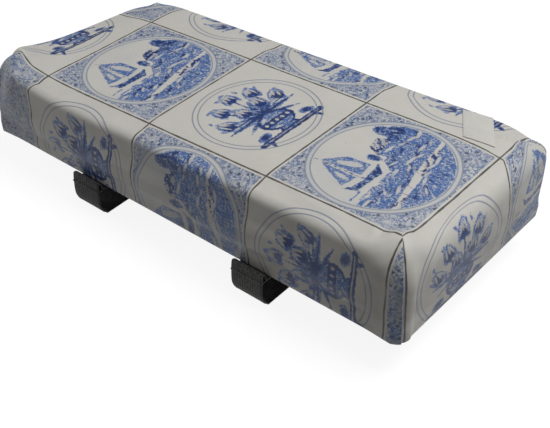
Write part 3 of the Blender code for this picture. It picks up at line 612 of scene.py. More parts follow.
def build_strap(name, centre_x, props, body):
    """A webbing band along its route: its section is a flat lens with thicker selvedges,
    and it waves a little across its width."""
    path = curve_through(strap_route(props, body), STRAP_STEPS)
    tangent = np.gradient(path, axis=0)
    tangent = tangent / np.linalg.norm(tangent, axis=1, keepdims=True)
    normal = np.stack([-tangent[:, 1], tangent[:, 0]], 1)
    across = np.linspace(-1, 1, STRAP_CELLS + 1)
    edge = np.abs(across)
    half = props.thickness / 2 * (0.80 + 0.20 * edge ** 6) * np.sqrt(1 - 0.75 * edge ** 40)
    length = np.append(0, np.cumsum(np.linalg.norm(np.diff(path, axis=0), axis=1)))
    x = centre_x + across[None, :] * props.width / 2 + STRAP_WANDER * np.sin(length * 45.0)[:, None]
    sheets = []
    for side in (-1, 1):
        moved = path[:, None, :] + side * normal[:, None, :] * half[None, :, None]
        sheets.append(np.stack([x, moved[..., 0], moved[..., 1]], -1))
    return closed_sheet(name, *sheets)


# The pictures on the tiles, as signed distances in tile units

def either(*fields):
    """The union of shapes: the least of their distances."""
    result = fields[0]
    for field in fields[1:]:
        result = np.minimum(result, field)
    return result


def ellipse(s, t, centre_s, centre_t, long, short, turn=0.0):
    """About how far a place lies outside a turned ellipse."""
    cosine, sine = math.cos(turn), math.sin(turn)
    a, b = s - centre_s, t - centre_t
    first = (a * cosine + b * sine) / long
    second = (b * cosine - a * sine) / short
    return (np.hypot(first, second) - 1) * min(long, short)


def stroke(s, t, s0, t0, s1, t1, width, end_width=None):
    """How far a place lies outside a brush stroke that may taper along its length."""
    end_width = width if end_width is None else end_width
    run_s, run_t = s1 - s0, t1 - t0
    share = np.clip(((s - s0) * run_s + (t - t0) * run_t) / (run_s * run_s + run_t * run_t), 0, 1)
    gap = np.hypot(s - s0 - run_s * share, t - t0 - run_t * share)
    return gap - (width + (end_width - width) * share) / 2


def ellipses(s, t, rows):
    """The union of ellipses."""
    return either(*[ellipse(s, t, *row) for row in rows])


def strokes(s, t, rows):
    """The union of strokes."""
    return either(*[stroke(s, t, *row) for row in rows])


def polygon(s, t, points):
    """How far a place lies outside a polygon: the distance to its nearest edge, with
    the sign of an even or odd count of the edges to its right."""
    nearest = np.full_like(s, 9.0)
    inside = np.zeros(s.shape, dtype=bool)
    for (s0, t0), (s1, t1) in zip(points, points[1:] + points[:1]):
        nearest = np.minimum(nearest, stroke(s, t, s0, t0, s1, t1, 0.0))
        crosses = (t0 > t) != (t1 > t)
        rise = 1.0 if t1 == t0 else t1 - t0
        inside ^= crosses & (s < s0 + (s1 - s0) * (t - t0) / rise)
    return np.where(inside, -nearest, nearest)


def dyke_line(s):
    """Height of the land's upper edge: low at the left, rising to the right in waves."""
    rise = smoothstep((s + 0.16) / 0.46)
    return -0.10 + 0.25 * rise + 0.016 * np.sin(s * 23.0) + 0.010 * np.sin(s * 51.0 + 1.0)


def scattered(s, t, count, radii, depth, seed):
    """Brush marks strewn below the dyke's line by steps of the golden section."""
    marks = []
    for index in range(count):
        across = -0.40 + 0.80 * ((index * 0.618 + seed) % 1.0)
        down = 0.02 + depth * ((index * 0.414 + seed * 0.7) % 1.0)
        turn = 0.25 + 0.5 * math.sin(index * 2.3 + seed)
        size = 0.7 + 0.6 * ((index * 0.273 + seed) % 1.0)
        marks.append((across, float(dyke_line(across)) - down, radii[0] * size, radii[1] * size, turn))
    return ellipses(s, t, marks)


def boat_picture(s, t):
    """A sailing barge on a canal before a dyke with a farm and trees: dark, middle and
    pale shapes."""
    land = (t - dyke_line(s)) * 0.8
    canal = np.abs(t - (-0.235 + 0.20 * s)) - 0.030 + 0.05 * np.abs(s - 0.05)
    hull = polygon(s, t, [(-0.335, 0.055), (-0.30, -0.030), (-0.075, -0.045), (-0.01, 0.035),
                          (-0.06, 0.020), (-0.20, 0.005), (-0.29, 0.020)])
    sail = polygon(s, t, [(-0.175, 0.345), (-0.055, 0.225), (-0.045, 0.065), (-0.165, 0.045)])
    jib = polygon(s, t, [(-0.19, 0.33), (-0.20, 0.055), (-0.315, 0.075)])
    mast = stroke(s, t, -0.182, 0.375, -0.18, 0.0, 0.010)
    roof = polygon(s, t, [(0.055, 0.085), (0.105, 0.185), (0.205, 0.205), (0.245, 0.115)])
    wall = polygon(s, t, [(0.075, 0.09), (0.075, 0.02), (0.225, 0.045), (0.225, 0.115)])
    trees = ((0.295, 0.215, 0.050, 0.075), (0.345, 0.150, 0.045, 0.070), (0.025, 0.090, 0.032, 0.055),
             (0.265, 0.120, 0.040, 0.045))
    crowns = ellipses(s, t, [(*tree, 0.1) for tree in trees])
    trunks = strokes(s, t, [(a, b, a, b - 0.13, 0.011) for a, b, _, _ in trees])
    ripples = ((-0.40, -0.055, 0.10), (-0.36, -0.095, 0.15), (-0.16, -0.085, 0.10), (-0.30, -0.140, 0.16),
               (-0.10, -0.125, 0.09))
    ripples = strokes(s, t, [(a, b, a + c, b + 0.008, 0.013) for a, b, c in ripples])
    reeds = strokes(s, t, [(a, -0.36, a + 0.03 * math.sin(a * 40), -0.20 + 0.25 * a, 0.013, 0.004)
                           for a in (-0.16, -0.11, 0.03, 0.09, 0.14, 0.24, 0.29)])
    tufts = scattered(s, t, 30, (0.046, 0.013), 0.34, 0.13)
    glints = scattered(s, t, 24, (0.040, 0.010), 0.36, 0.57)
    lights = ellipses(s, t, [(-0.11, 0.17, 0.026, 0.085, 0.3), (-0.235, 0.14, 0.016, 0.055, -0.2),
                             (0.15, 0.07, 0.045, 0.012)])
    dark = either(hull, crowns + 0.008, roof, mast, trunks, reeds, np.maximum(tufts, 0.4 * land))
    middle = either(np.maximum(land, -canal), crowns, wall, sail, jib, ripples, hull)
    return dark, middle, either(np.maximum(glints, 0.5 * (land + 0.01)), lights)


def vase_picture(s, t):
    """A vase of tulips on a low table: dark, middle and pale shapes."""
    bowl = either(ellipse(s, t, 0.015, -0.150, 0.140, 0.106),
                  polygon(s, t, [(-0.062, -0.080), (-0.042, -0.012), (0.076, -0.012), (0.092, -0.080)]),
                  polygon(s, t, [(-0.085, -0.282), (-0.045, -0.230), (0.075, -0.230), (0.115, -0.282)]))
    table = strokes(s, t, [(-0.275, -0.292, 0.285, -0.292, 0.040),
                           (-0.205, -0.30, -0.228, -0.368, 0.034, 0.018),
                           (0.215, -0.30, 0.238, -0.368, 0.034, 0.018)])
    heads = ((-0.235, 0.045, 0.6), (-0.140, 0.185, 0.3), (0.010, 0.265, 0.0), (0.160, 0.200, -0.3),
             (0.245, 0.055, -0.65), (-0.060, 0.070, 0.15), (0.100, 0.085, -0.2))
    petals = [(a + across * math.cos(turn), b + across * math.sin(turn) + 0.012 * (across == 0),
               turn + across * 9) for a, b, turn in heads for across in (-0.028, 0.0, 0.028)]
    blooms = ellipses(s, t, [(a, b, 0.030, 0.072, turn) for a, b, turn in petals])
    shines = ellipses(s, t, [(a, b + 0.012, 0.009, 0.040, turn) for a, b, turn in petals])
    cores = ellipses(s, t, [(a, b - 0.022, 0.042, 0.038, turn) for a, b, turn in heads])
    stems = strokes(s, t, [(0.015, -0.03, a, b - 0.05, 0.016) for a, b, _ in heads])
    blades = ((-0.300, -0.050, 0.085), (0.315, -0.040, 0.085), (0.170, 0.030, 0.070), (-0.160, 0.020, 0.070),
              (-0.215, -0.145, 0.065), (0.245, -0.145, 0.065), (0.055, 0.150, 0.055))
    foliage = strokes(s, t, [(0.01, -0.040, a, b, c, 0.010) for a, b, c in blades])
    spines = strokes(s, t, [(0.01, -0.040, a, b, c * 0.35, 0.004) for a, b, c in blades])
    turns = [k * 0.52 + 0.2 for k in range(7)]
    sprigs = ellipses(s, t, [(0.30 * math.cos(turn), 0.06 + 0.25 * math.sin(turn), 0.022, 0.012, k * 0.9)
                             for k, turn in enumerate(turns)])
    fallen = ellipses(s, t, [(-0.190, -0.235, 0.060, 0.036, 0.3), (0.215, -0.230, 0.055, 0.034, -0.3)])
    dots = ellipses(s, t, [(a, -0.155, 0.012, 0.016) for a in (-0.085, -0.035, 0.015, 0.065, 0.115)])
    lights = ellipses(s, t, [(-0.050, -0.100, 0.030, 0.012, 0.3), (-0.040, -0.215, 0.026, 0.010, -0.2)])
    edge = stroke(s, t, -0.255, -0.290, 0.270, -0.290, 0.010)
    rim = np.maximum(bowl, -(bowl + 0.016))
    belt = np.maximum(bowl, np.abs(t + 0.155) - 0.030)
    dark = either(rim, belt, cores, spines, stems + 0.003, fallen + 0.012, table, blooms + 0.016)
    middle = either(bowl, blooms, stems, foliage, fallen, table, sprigs)
    return dark, middle, either(shines, dots, lights, edge)


def picture_fields(u, v):
    """Distances to the dark, middle and pale shapes of each place's own tile, in mm.

    The pictures' right is the print's second direction and their top is against its
    first. Tiles whose numbers add up to an even number carry the boat. All shapes end
    inside the tile's ring, and the tiles of the two right corners carry none.
    """
    s = v - np.floor(v) - 0.5
    t = 0.5 - (u - np.floor(u))
    all_lace = (v < 0) & (np.abs(u - 1.5) > 1.5)
    beyond_ring = np.where(all_lace, 1.0, np.hypot(s, t) - PICTURE_RADIUS)
    boat = ((np.floor(u) + np.floor(v)) % 2) == 0
    return [np.maximum(np.where(boat, at_sea, at_home), beyond_ring) * 100.0
            for at_sea, at_home in zip(boat_picture(s, t), vase_picture(s, t))]


# Node helpers

class Value:
    """One output of a node. Arithmetic with it adds Math nodes."""

    def __init__(self, tree, socket):
        self.tree = tree
        self.socket = socket

    def math(self, operation, *others):
        """The result of a Math node that starts with this value."""
        return put(self.tree, "ShaderNodeMath", dict(enumerate((self, *others))), operation=operation)[0]

    def __add__(self, other):
        return self.math("ADD", other)

    def __sub__(self, other):
        return self.math("SUBTRACT", other)

    def __rsub__(self, other):
        return put(self.tree, "ShaderNodeMath", {0: other, 1: self}, operation="SUBTRACT")[0]

    def __mul__(self, other):
        return self.math("MULTIPLY", other)

    def __abs__(self):
        return self.math("ABSOLUTE")


class Outputs:
    """A node's outputs as values, by name or number."""

    def __init__(self, tree, node):
        self.tree = tree
        self.node = node

    def __getitem__(self, key):
        return Value(self.tree, self.node.outputs[key])


def feed(socket, value):
    """Link a value to an input, or set a plain number or colour there."""
    if isinstance(value, Value):
        value.tree.links.new(value.socket, socket)
    elif socket.type == "RGBA":
        socket.default_value = (*value, 1.0)
    else:
        socket.default_value = value


def put(tree, kind, inputs=None, **options):
    """Add a node, set its options, link or set its inputs, and give its outputs."""
    made = tree.nodes.new(kind)
    for name, value in options.items():
        setattr(made, name, value)
    for key, value in (inputs or {}).items():
        feed(made.inputs[key], value)
    return Outputs(tree, made)


def ramp(value, low, high, start=0.0, end=1.0):
    """Smoothly carry a value's range from low to high over to start to end."""
    ends = {"Value": value, "From Min": low, "From Max": high, "To Min": start, "To Max": end}
    return put(value.tree, "ShaderNodeMapRange", ends, interpolation_type="SMOOTHSTEP")["Result"]


def mix(factor, first, second):
    """Mix two colours by a value."""
    return put(factor.tree, "ShaderNodeMix", {0: factor, 6: first, 7: second}, data_type="RGBA")[2]


def noise(vector, scale, detail=2.0, roughness=0.5, distortion=0.0):
    """A noise value from 0 to 1."""
    return put(vector.tree, "ShaderNodeTexNoise", {
        "Vector": vector, "Scale": scale, "Detail": detail, "Roughness": roughness,
        "Distortion": distortion})["Fac"]


def cells(vector, scale, randomness=1.0):
    """Distance to the nearest of many strewn points."""
    return put(vector.tree, "ShaderNodeTexVoronoi",
               {"Vector": vector, "Scale": scale, "Randomness": randomness})["Distance"]


def mapped(vector, **inputs):
    """A turned or stretched vector."""
    return put(vector.tree, "ShaderNodeMapping", {"Vector": vector, **inputs})[0]


def split(vector):
    """The three parts of a vector."""
    return put(vector.tree, "ShaderNodeSeparateXYZ", {0: vector})


def start_group(name, **inputs):
    """Start a shader node group. Its inputs are vectors, or numbers with a default."""
    group = bpy.data.node_groups.new(name, "ShaderNodeTree")
    for label, default in inputs.items():
        kind = "NodeSocketVector" if default is None else "NodeSocketFloat"
        socket = group.interface.new_socket(label, in_out="INPUT", socket_type=kind)
        if default is not None:
            socket.default_value = default
    return group, Outputs(group, group.nodes.new("NodeGroupInput"))


def end_group(group, results):
    """Name a group's outputs and link their values."""
    for label in results:
        group.interface.new_socket(label, in_out="OUTPUT", socket_type="NodeSocketFloat")
    ends = group.nodes.new("NodeGroupOutput").inputs
    for label, value in results.items():
        feed(ends[label], value)
    return group


def weave_group():
    """Plain weave: the product of two sines, one thread apart, roughened by noise."""
    group, given = start_group("weave", Vector=None, Threads=1800.0)
    parts = split(given["Vector"])
    waver = noise(given["Vector"], 300.0)
    across, along = ((parts[k] * given["Threads"] + waver).math("SINE") for k in (0, 1))
    height = across * along
    return end_group(group, {"Height": height, "Thread": ramp(height, -0.6, 0.8)})


def dust_group():
    """Uneven dust: slow noise with finer noise inside it, as one value."""
    group, given = start_group("dust", Vector=None, Scale=12.0)
    slow = noise(given["Vector"], given["Scale"], 3.0, 0.6)
    fine = noise(given["Vector"], given["Scale"] * 14.0, 3.0, 0.6)
    return end_group(group, {"Amount": ramp(slow, 0.35, 0.7) * ramp(fine, 0.3, 0.75)})


def tile_group():
    """The tiles' own lines: joints, borders, rings and corner lace, from tile units.

    The joint is the distance to the nearest whole number, the rings are distances from
    the tile's middle, and even tiles carry the border and the lace between ring and joint.
    The tiles of the two right corners are all lace.
    """
    group, given = start_group("tile_lines", Print=None)
    place = given["Print"]
    parts = split(place)
    centred = [parts[k].math("FRACT") - 0.5 for k in (0, 1)]
    edge = (0.5 - abs(centred[0])).math("MINIMUM", 0.5 - abs(centred[1]))
    width = ramp(noise(place, 9.0), 0.3, 0.7, 0.0044, 0.0072)
    joint = 1.0 - ramp(edge - width, -0.002, 0.002)
    odd = (parts[0].math("FLOOR") + parts[1].math("FLOOR")).math("FLOORED_MODULO", 2.0)
    even = 1.0 - odd
    radius = (centred[0].math("POWER", 2.0) + centred[1].math("POWER", 2.0)).math("SQRT")

    def line(middle, half):
        return 1.0 - ramp(abs(radius - middle), half, half + 0.004)

    plain_rings = line(0.42, 0.0032).math("MAXIMUM", line(0.385, 0.0026))
    lace_rings = line(0.468, 0.0038).math("MAXIMUM", line(0.437, 0.0028))
    corner = parts[1].math("LESS_THAN", 0.0) * abs(parts[0] - 1.5).math("GREATER_THAN", 1.5)
    past_ring = ramp(radius, 0.468, 0.474).math("MAXIMUM", corner)
    field = past_ring * ramp(edge, 0.017, 0.023) * even
    curls = noise(place, 19.0, 2.0, 0.5, 2.4)
    scroll = ramp(abs(curls - 0.5), 0.045, 0.075, 1.0, 0.0)
    speck = ramp(cells(place, 24.0), 0.22, 0.32, 1.0, 0.0)
    patchy = ramp(noise(place, 7.0), 0.35, 0.65, 0.70, 1.0)
    return end_group(group, {
        "Joint": joint,
        "Ring": (plain_rings * odd + lace_rings * even) * (1.0 - corner),
        "Lace Field": field,
        "Lace": scroll * patchy * field,
        "Lace Dark": speck * patchy * field,
        "Sky": (1.0 - ramp(radius, 0.43, 0.44)) * even,
        "Band": ramp(radius, 0.436, 0.440) * ramp(radius, 0.466, 0.470, 1.0, 0.0) * even,
        "Inside": even,
    })


GROUPS = {"weave": weave_group, "dust": dust_group, "tile_lines": tile_group}


def use_group(tree, name, **inputs):
    """Place a shared node group, which is built at its first use."""
    group = bpy.data.node_groups.get(name) or GROUPS[name]()
    return put(tree, "ShaderNodeGroup", inputs, node_tree=group)


# Materials

class Surface:
    """A material under way, with plain numbers set on its shader's own sockets."""

    def __init__(self, look, name, dust_scale, roughness, specular, **numbers):
        self.look = look
        self.material = bpy.data.materials.new(name)
        self.material.use_nodes = True
        self.tree = self.material.node_tree
        self.shader = self.tree.nodes["Principled BSDF"].inputs
        self.shader["Roughness"].default_value = roughness
        self.shader["Specular IOR Level"].default_value = specular
        for label, value in numbers.items():
            self.shader[label.replace("_", " ").title()].default_value = value
        self.vector = put(self.tree, "ShaderNodeTexCoord")["Object"]
        self.dust = use_group(self.tree, "dust", Vector=self.vector, Scale=dust_scale)["Amount"]

    def finish(self, colour, dust_share, height, strength, distance):
        """Lay dust over the colour, and link the colour and the bumps to the shader."""
        feed(self.shader["Base Color"], mix(self.dust * dust_share, colour, self.look.dust))
        bumps = {"Height": height, "Strength": strength, "Distance": distance}
        feed(self.shader["Normal"], put(self.tree, "ShaderNodeBump", bumps)["Normal"])
        return self.material


def cloth_material(look, tile):
    """Coated printed cloth: ground colour, tile lines, corner lace and the pictures'
    shapes, over a fine canvas weave, with a satin face."""
    made = Surface(look, "printed_cloth_look", 9.0, 0.46, 0.42, coat_weight=0.06, coat_roughness=0.35,
                   sheen_weight=0.05)
    place = put(made.tree, "ShaderNodeUVMap", uv_map="print")["UV"]
    lines = use_group(made.tree, "tile_lines", Print=place)
    rough_edge = (noise(place, 34.0, 3.0, 0.6) - 0.5) * 2.6

    def painted(name, wander, soft):
        away = put(made.tree, "ShaderNodeAttribute", attribute_name=name)["Fac"] + wander
        return ramp(away, -soft, soft, 1.0, 0.0)

    dark = painted("ink_dark", rough_edge, 0.35)
    middle = painted("ink_middle", rough_edge, 0.35)
    pale = painted("ink_pale", rough_edge * 0.5, 0.3)
    brush = noise(place, 24.0, 3.0, 0.6, 1.2)
    leafy = noise(place, 40.0, 2.0, 0.55, 2.0)
    broken = brush + lines["Inside"] * 0.13
    deep = dark * ramp(brush, 0.36, 0.46, 1.0, 0.0) * 0.85
    specks = ramp(cells(place, 11.0), 0.035, 0.06, 1.0, 0.0) * lines["Inside"]
    layers = (
        (ramp(noise(place, 3.0, 4.0, 0.6), 0.3, 0.75) * 0.35, look.ground_shade),
        (lines["Sky"] * ramp(noise(place, 2.2, 3.0), 0.4, 0.75, 0.0, 0.45), look.sky),
        (middle * 0.45, look.pale_blue),
        (middle * ramp(leafy, 0.50, 0.60, 1.0, 0.0), look.middle_blue),
        (dark * ramp(broken, 0.60, 0.70, 1.0, 0.15), look.cobalt),
        (deep * ramp(lines["Inside"], 0.0, 1.0, 1.0, 0.3), look.ink),
        (pale * 0.8, look.ground),
        (lines["Lace Field"] * 0.30 + lines["Band"] * 0.22, look.lace),
        (lines["Lace"] * 0.90, look.lace_line),
        (lines["Lace Dark"] * 0.85, look.lace_dot),
        (lines["Ring"] * 0.75, look.ring),
        (specks * 0.6, look.ring),
        (lines["Joint"] * 0.92, look.joint),
    )
    colour = look.ground
    for share, paint in layers:
        colour = mix(share, colour, paint)
    size = put(made.tree, "ShaderNodeVectorMath", {0: place, 1: (tile,) * 3}, operation="MULTIPLY")[0]
    weave = use_group(made.tree, "weave", Vector=size, Threads=7000.0)
    feed(made.shader["Roughness"], ramp(made.dust, 0.0, 1.0, 0.42, 0.6))
    height = weave["Height"] * 0.25 + noise(made.vector, 60.0, 3.0)
    return made.finish(colour, 0.12, height, 0.25, 0.0004)


def webbing_material(look):
    """Black webbing: ribs across the band crossed by fine threads, paler where they stand higher."""
    made = Surface(look, "webbing_look", 30.0, 0.7, 0.35, sheen_weight=0.25, sheen_roughness=0.5)
    weave = use_group(made.tree, "weave", Vector=made.vector, Threads=3600.0)
    rib = abs((split(made.vector)[0] * 1500.0).math("SINE"))
    height = rib + weave["Height"] * 0.5
    colour = mix(ramp(height, 0.0, 1.2), look.webbing, look.webbing_thread)
    return made.finish(colour, 0.3, height, 0.6, 0.0003)


def tape_material(look, name, hooked):
    """Fastening tape: rows of stiff hooks as a cell pattern, or a napped pile as noise."""
    made = Surface(look, name, 40.0, 0.6 if hooked else 0.95, 0.3)
    if hooked:
        height = ramp(cells(made.vector, 900.0, 0.25), 0.1, 0.5, 1.0, 0.0)
    else:
        height = noise(made.vector, 2200.0, 4.0, 0.7, 1.5)
    return made.finish(mix(height, look.webbing, look.webbing_thread), 0.25, height, 0.8, 0.0005)


def lining_material(look):
    """Non-woven lining: matted fibres as stretched noise, with a small pressed dot grid."""
    made = Surface(look, "lining_look", 14.0, 0.9, 0.25)
    height = noise(made.vector, 700.0, 5.0, 0.7, 2.5) * ramp(cells(made.vector, 420.0, 0.0), 0.22, 0.32)
    return made.finish(mix(height, look.webbing, look.webbing_thread), 0.35, height, 0.7, 0.0004)


def plywood_material(look):
    """Raw plywood: long grain as stretched noise, and layers across the thickness."""
    made = Surface(look, "plywood_look", 20.0, 0.72, 0.3)
    grain = noise(mapped(made.vector, Scale=(12.0, 260.0, 260.0)), 1.0, 5.0, 0.65, 0.6)
    layer = ramp((split(made.vector)[2] * 4200.0).math("SINE"), -0.2, 0.2)
    colour = mix(layer * 0.35, mix(grain, look.wood, look.wood_dark), look.wood_dark)
    return made.finish(colour, 0.2, grain, 0.4, 0.0003)


def foam_material(look):
    """Open-cell foam: small cells with pale walls."""
    made = Surface(look, "foam_look", 25.0, 0.95, 0.2)
    pores = cells(made.vector, 900.0)
    return made.finish(mix(ramp(pores, 0.1, 0.6), look.foam_shade, look.foam), 0.2, pores, 0.7, 0.0006)


def steel_material(look):
    """Zinc-plated steel: patches of plating, fine scratches, dull spots where dust sits."""
    made = Surface(look, "zinc_steel_look", 80.0, 0.35, 0.5, metallic=1.0)
    scratch = noise(mapped(made.vector, Scale=(400.0, 6000.0, 400.0)), 1.0)
    feed(made.shader["Roughness"], ramp(scratch, 0.3, 0.7, 0.26, 0.42) + made.dust * 0.25)
    colour = mix(cells(made.vector, 700.0), look.zinc, look.zinc_shade)
    return made.finish(colour, 0.3, scratch, 0.15, 0.0001)


def label_material(look):
    """Bare woven label: a tight weave along its own edges, a little dusty."""
    made = Surface(look, "label_look", 60.0, 0.62, 0.35, sheen_weight=0.1)
    turned = mapped(made.vector, Rotation=(0.0, 0.0, math.radians(-33)))
    weave = use_group(made.tree, "weave", Vector=turned, Threads=9000.0)
    colour = mix(weave["Thread"], look.label_shade, look.label)
    return made.finish(colour, 0.25, weave["Height"], 0.35, 0.0002)


def dress_nodes(prefixes, material):
    """Give a material to every CAD node whose name starts with one of the prefixes."""
    for name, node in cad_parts.items():
        if name.startswith(prefixes):
            for slot in node.material_slots:
                slot.material = material
            if not node.material_slots:
                node.data.materials.append(material)


# Settings

def number(description, default, **options):
    """A number for the panel, which names it after its identifier."""
    return bpy.props.FloatProperty(description=description, default=default, **options)


def length(description, default):
    """A length in metres for the panel."""
    return number(description, default, precision=4, unit="LENGTH")


def lengths(description, *default):
    """Several lengths in metres for the panel."""
    return bpy.props.FloatVectorProperty(description=description, default=default, size=len(default),
                                         unit="LENGTH")


def colour(description, *default):
    """A linear colour for the panel."""
    return bpy.props.FloatVectorProperty(description=description, default=default, size=3, min=0.0,
                                         max=1.0, subtype="COLOR")


class CushionShapeProps(bpy.types.PropertyGroup):
    """Sizes of the stretched cover and of its print. Corners are front right, rear right,
    rear left and front left."""

    length: length("Body length, from end to end", 0.3634)
    width: length("Body width, from side to side", 0.1551)
    height: length("Height of the top at the middle", 0.0559)
    slope: number("Rise of the top per length to the rear", 0.0354)
    plan_radius: length("Corner radius seen from above", 0.009)
    side_round: length("Radius of the long top edges", 0.0062)
    front_round: length("Radius of the front end's top edge", 0.0052)
    rear_round: length("Radius of the rear end's top edge", 0.0125)
    corner_reach: length("How far a gathered corner is felt", 0.0134)
    corner_pull: lengths("Pull inwards at each corner", 0.0100, 0.0079, 0.0084, 0.0052)
    corner_round: lengths("Depth over which each corner rounds", 0.0400, 0.025, 0.0138, 0.0240)
    corner_lift: lengths("Lift of each corner", 0.0090, 0.005, 0.0006, 0.0020)
    lift_reach: lengths("How far each lift is felt", 0.0345, 0.0159, 0.0159, 0.0159)
    lean_middle: length("How far the front end's top leans back in the middle", 0.0031)
    lean_slant: length("How much more it leans at its left side", 0.0103)
    lean_reach: length("Length over which the lean fades", 0.1027)
    rear_droop: length("How far the rear end droops", 0.0019)
    droop_start: length("Where the droop begins, from the middle", 0.125)
    droop_length: length("Length over which it droops", 0.055)
    side_bulge: length("Bulge of the sides at half height", 0.0017)
    side_tuck: lengths("Draw-in at the hem: left, right, front, rear", 0.0038, -0.0022, 0.0057, 0.0026)
    tuck_power: number("How late the side draws in", 2.2)
    cloth: length("Thickness of the coated cloth", 0.0008)
    hem_bend: length("Radius of the bend under the board", 0.0016)
    hem_inner: length("Inner edge of the hem from the corner line", -0.013)
    hem_trim: length("Where the hems are trimmed at a corner", 0.001)
    fold_angle: number("Where a side's cloth ends round the corner, in degrees", 34.0)
    fold_step: length("Height of the folded flap's edge", 0.0011)
    fold_fade: length("Length over which the flap fades into the side", 0.026)
    wave: length("Depth of soft waves in the sides", 0.0008)
    foam_inset: length("How far the foam stays inside the cover", 0.0028)
    gather: length("How far the rear end's print is drawn to its fold", 0.0145)
    end_advance: length("How far the rear end's print is drawn up", 0.0045)
    end_stretch: number("How much more per length down", 0.12)
    side_gather: length("How far the right side's print is drawn there", 0.0016)
    gather_length: length("Length over which that fades", 0.060)
    draw_in: length("How far the print bends in at the front right corner", 0.0065)
    draw_length: length("Length over which that grows", 0.024)
    tile: length("Size of a printed tile", 0.1)
    tile_u: number("Print's first place at the middle", 1.334)
    tile_v: number("Print's second place at the middle", 0.6125)


class CushionLabelProps(bpy.types.PropertyGroup):
    """Sizes of the bare label."""

    centre: lengths("Its middle, seen from above", 0.1386, 0.05695)
    width: length("Width of the label", 0.0208)
    length: length("Length of the label", 0.034)
    angle: number("Turn of its long edges", 0.57596, unit="ROTATION")
    end_angle: number("Turn of its ends", 0.13963, unit="ROTATION")
    thickness: length("Thickness at the edges", 0.0004)
    gap: length("Height of its underside above the cloth", 0.0002)


class CushionStrapProps(bpy.types.PropertyGroup):
    """Sizes of the two straps."""

    places: lengths("Middle of the front and rear strap", -0.0775, 0.0695)
    width: length("Width of the webbing", 0.025)
    thickness: length("Thickness of the webbing", 0.0016)
    crest: length("Height of the fold beside the hem", 0.0044)
    fold: length("Width of the fold", 0.0030)
    top_run: length("Level of the webbing under the base", -0.0011)
    loop_depth: length("How far the loop hangs down", 0.017)
    loop_turn: length("Size of the loop's turns", 0.006)
    lap_gap: length("Distance of the two ends where they lap", 0.0045)
    overlap: length("Length over which the ends lap", 0.054)


class CushionPressProps(bpy.types.PropertyGroup):
    """Settings of the cloth simulation that swells the cover."""

    pressure: number("Pressure inside the cover", 4.0)
    frames: bpy.props.IntProperty(description="Simulated frames", default=20)
    cap: length("Most that a point may move", 0.0018)
    start_inset: length("How much smaller the cloth starts", 0.0012)


class CushionLookProps(bpy.types.PropertyGroup):
    """Colours of the materials, linear."""

    ground: colour("Pale ground of the print", 0.575, 0.558, 0.518)
    ground_shade: colour("Darker parts of the ground", 0.505, 0.490, 0.455)
    sky: colour("Tint inside the ornamented tiles' rings", 0.40, 0.44, 0.50)
    pale_blue: colour("Wash under the pictures", 0.25, 0.31, 0.42)
    middle_blue: colour("Brush colour of the pictures", 0.052, 0.128, 0.345)
    cobalt: colour("Dark blue of the pictures", 0.009, 0.036, 0.165)
    ink: colour("Darkest blue", 0.007, 0.012, 0.038)
    lace: colour("Wash under the lace", 0.22, 0.29, 0.42)
    lace_line: colour("Curls of the lace", 0.055, 0.115, 0.280)
    lace_dot: colour("Dark dots of the lace", 0.012, 0.026, 0.080)
    ring: colour("Thin rings round the pictures", 0.16, 0.20, 0.29)
    joint: colour("Lines between the tiles", 0.03, 0.026, 0.024)
    dust: colour("Dust on all surfaces", 0.33, 0.31, 0.27)
    webbing: colour("Black webbing", 0.008, 0.008, 0.009)
    webbing_thread: colour("Paler threads of the webbing", 0.032, 0.032, 0.034)
    wood: colour("Plywood", 0.58, 0.42, 0.25)
    wood_dark: colour("Plywood's dark grain", 0.34, 0.22, 0.11)
    foam: colour("Foam", 0.80, 0.74, 0.52)
    foam_shade: colour("Foam's cells", 0.55, 0.48, 0.28)
    zinc: colour("Zinc plating", 0.66, 0.66, 0.64)
    zinc_shade: colour("Darker plating", 0.48, 0.49, 0.50)
    label: colour("Bare label", 0.65, 0.635, 0.60)
    label_shade: colour("Label between its threads", 0.54, 0.526, 0.495)


class CushionStageProps(bpy.types.PropertyGroup):
    """Lights, floor and camera."""

    key: number("Power of the key light", 19.6, unit="POWER")
    fill: number("Power of the fill light", 3.0, unit="POWER")
    ambient: number("Strength of the surroundings", 0.105)
    floor: colour("Floor as it lights the cushion", 0.12, 0.12, 0.12)
    camera: lengths("Camera position", 0.40825, -0.42985, 0.43207)
    lens: number("Focal length", 69.55, unit="CAMERA")


def settings():
    """All settings of the open scene."""
    return bpy.context.scene.cushion


class CushionProps(bpy.types.PropertyGroup):
    """Everything that the panel shows."""

    shape: bpy.props.PointerProperty(type=CushionShapeProps)
    label: bpy.props.PointerProperty(type=CushionLabelProps)
    strap: bpy.props.PointerProperty(type=CushionStrapProps)
    press: bpy.props.PointerProperty(type=CushionPressProps)
    look: bpy.props.PointerProperty(type=CushionLookProps)
    stage: bpy.props.PointerProperty(type=CushionStageProps)


# Operators

class CUSHION_OT_cover(bpy.types.Operator):
    """Build the printed cover and the foam inside it in place of the plain ones"""

    bl_idname = "cushion.cover"
    bl_label = "Cover"

    def execute(self, context):
        props = settings()
        shape = CoverShape(props.shape)
        swelling = pressed_displacement(shape, COARSE_CELLS, props.press)
        foam = build_foam(shape, COARSE_CELLS, swelling)
        foam.data.materials.append(foam_material(props.look))
        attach(foam, "root")
        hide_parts("foam_pad")
        piece = build_cover(shape, FINE_CELLS, COARSE_CELLS, swelling)
        piece.data.materials.append(cloth_material(props.look, props.shape.tile))
        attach(piece, "root")
        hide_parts("cover")
        return {"FINISHED"}


class CUSHION_OT_label(bpy.types.Operator):
    """Build the bare label on the cover's top"""

    bl_idname = "cushion.label"
    bl_label = "Label"

    def execute(self, context):
        props = settings()
        piece = build_label(props.label, bpy.data.objects["printed_cover"])
        piece.data.materials.append(label_material(props.look))
        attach(piece, "root")
        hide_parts("label")
        return {"FINISHED"}


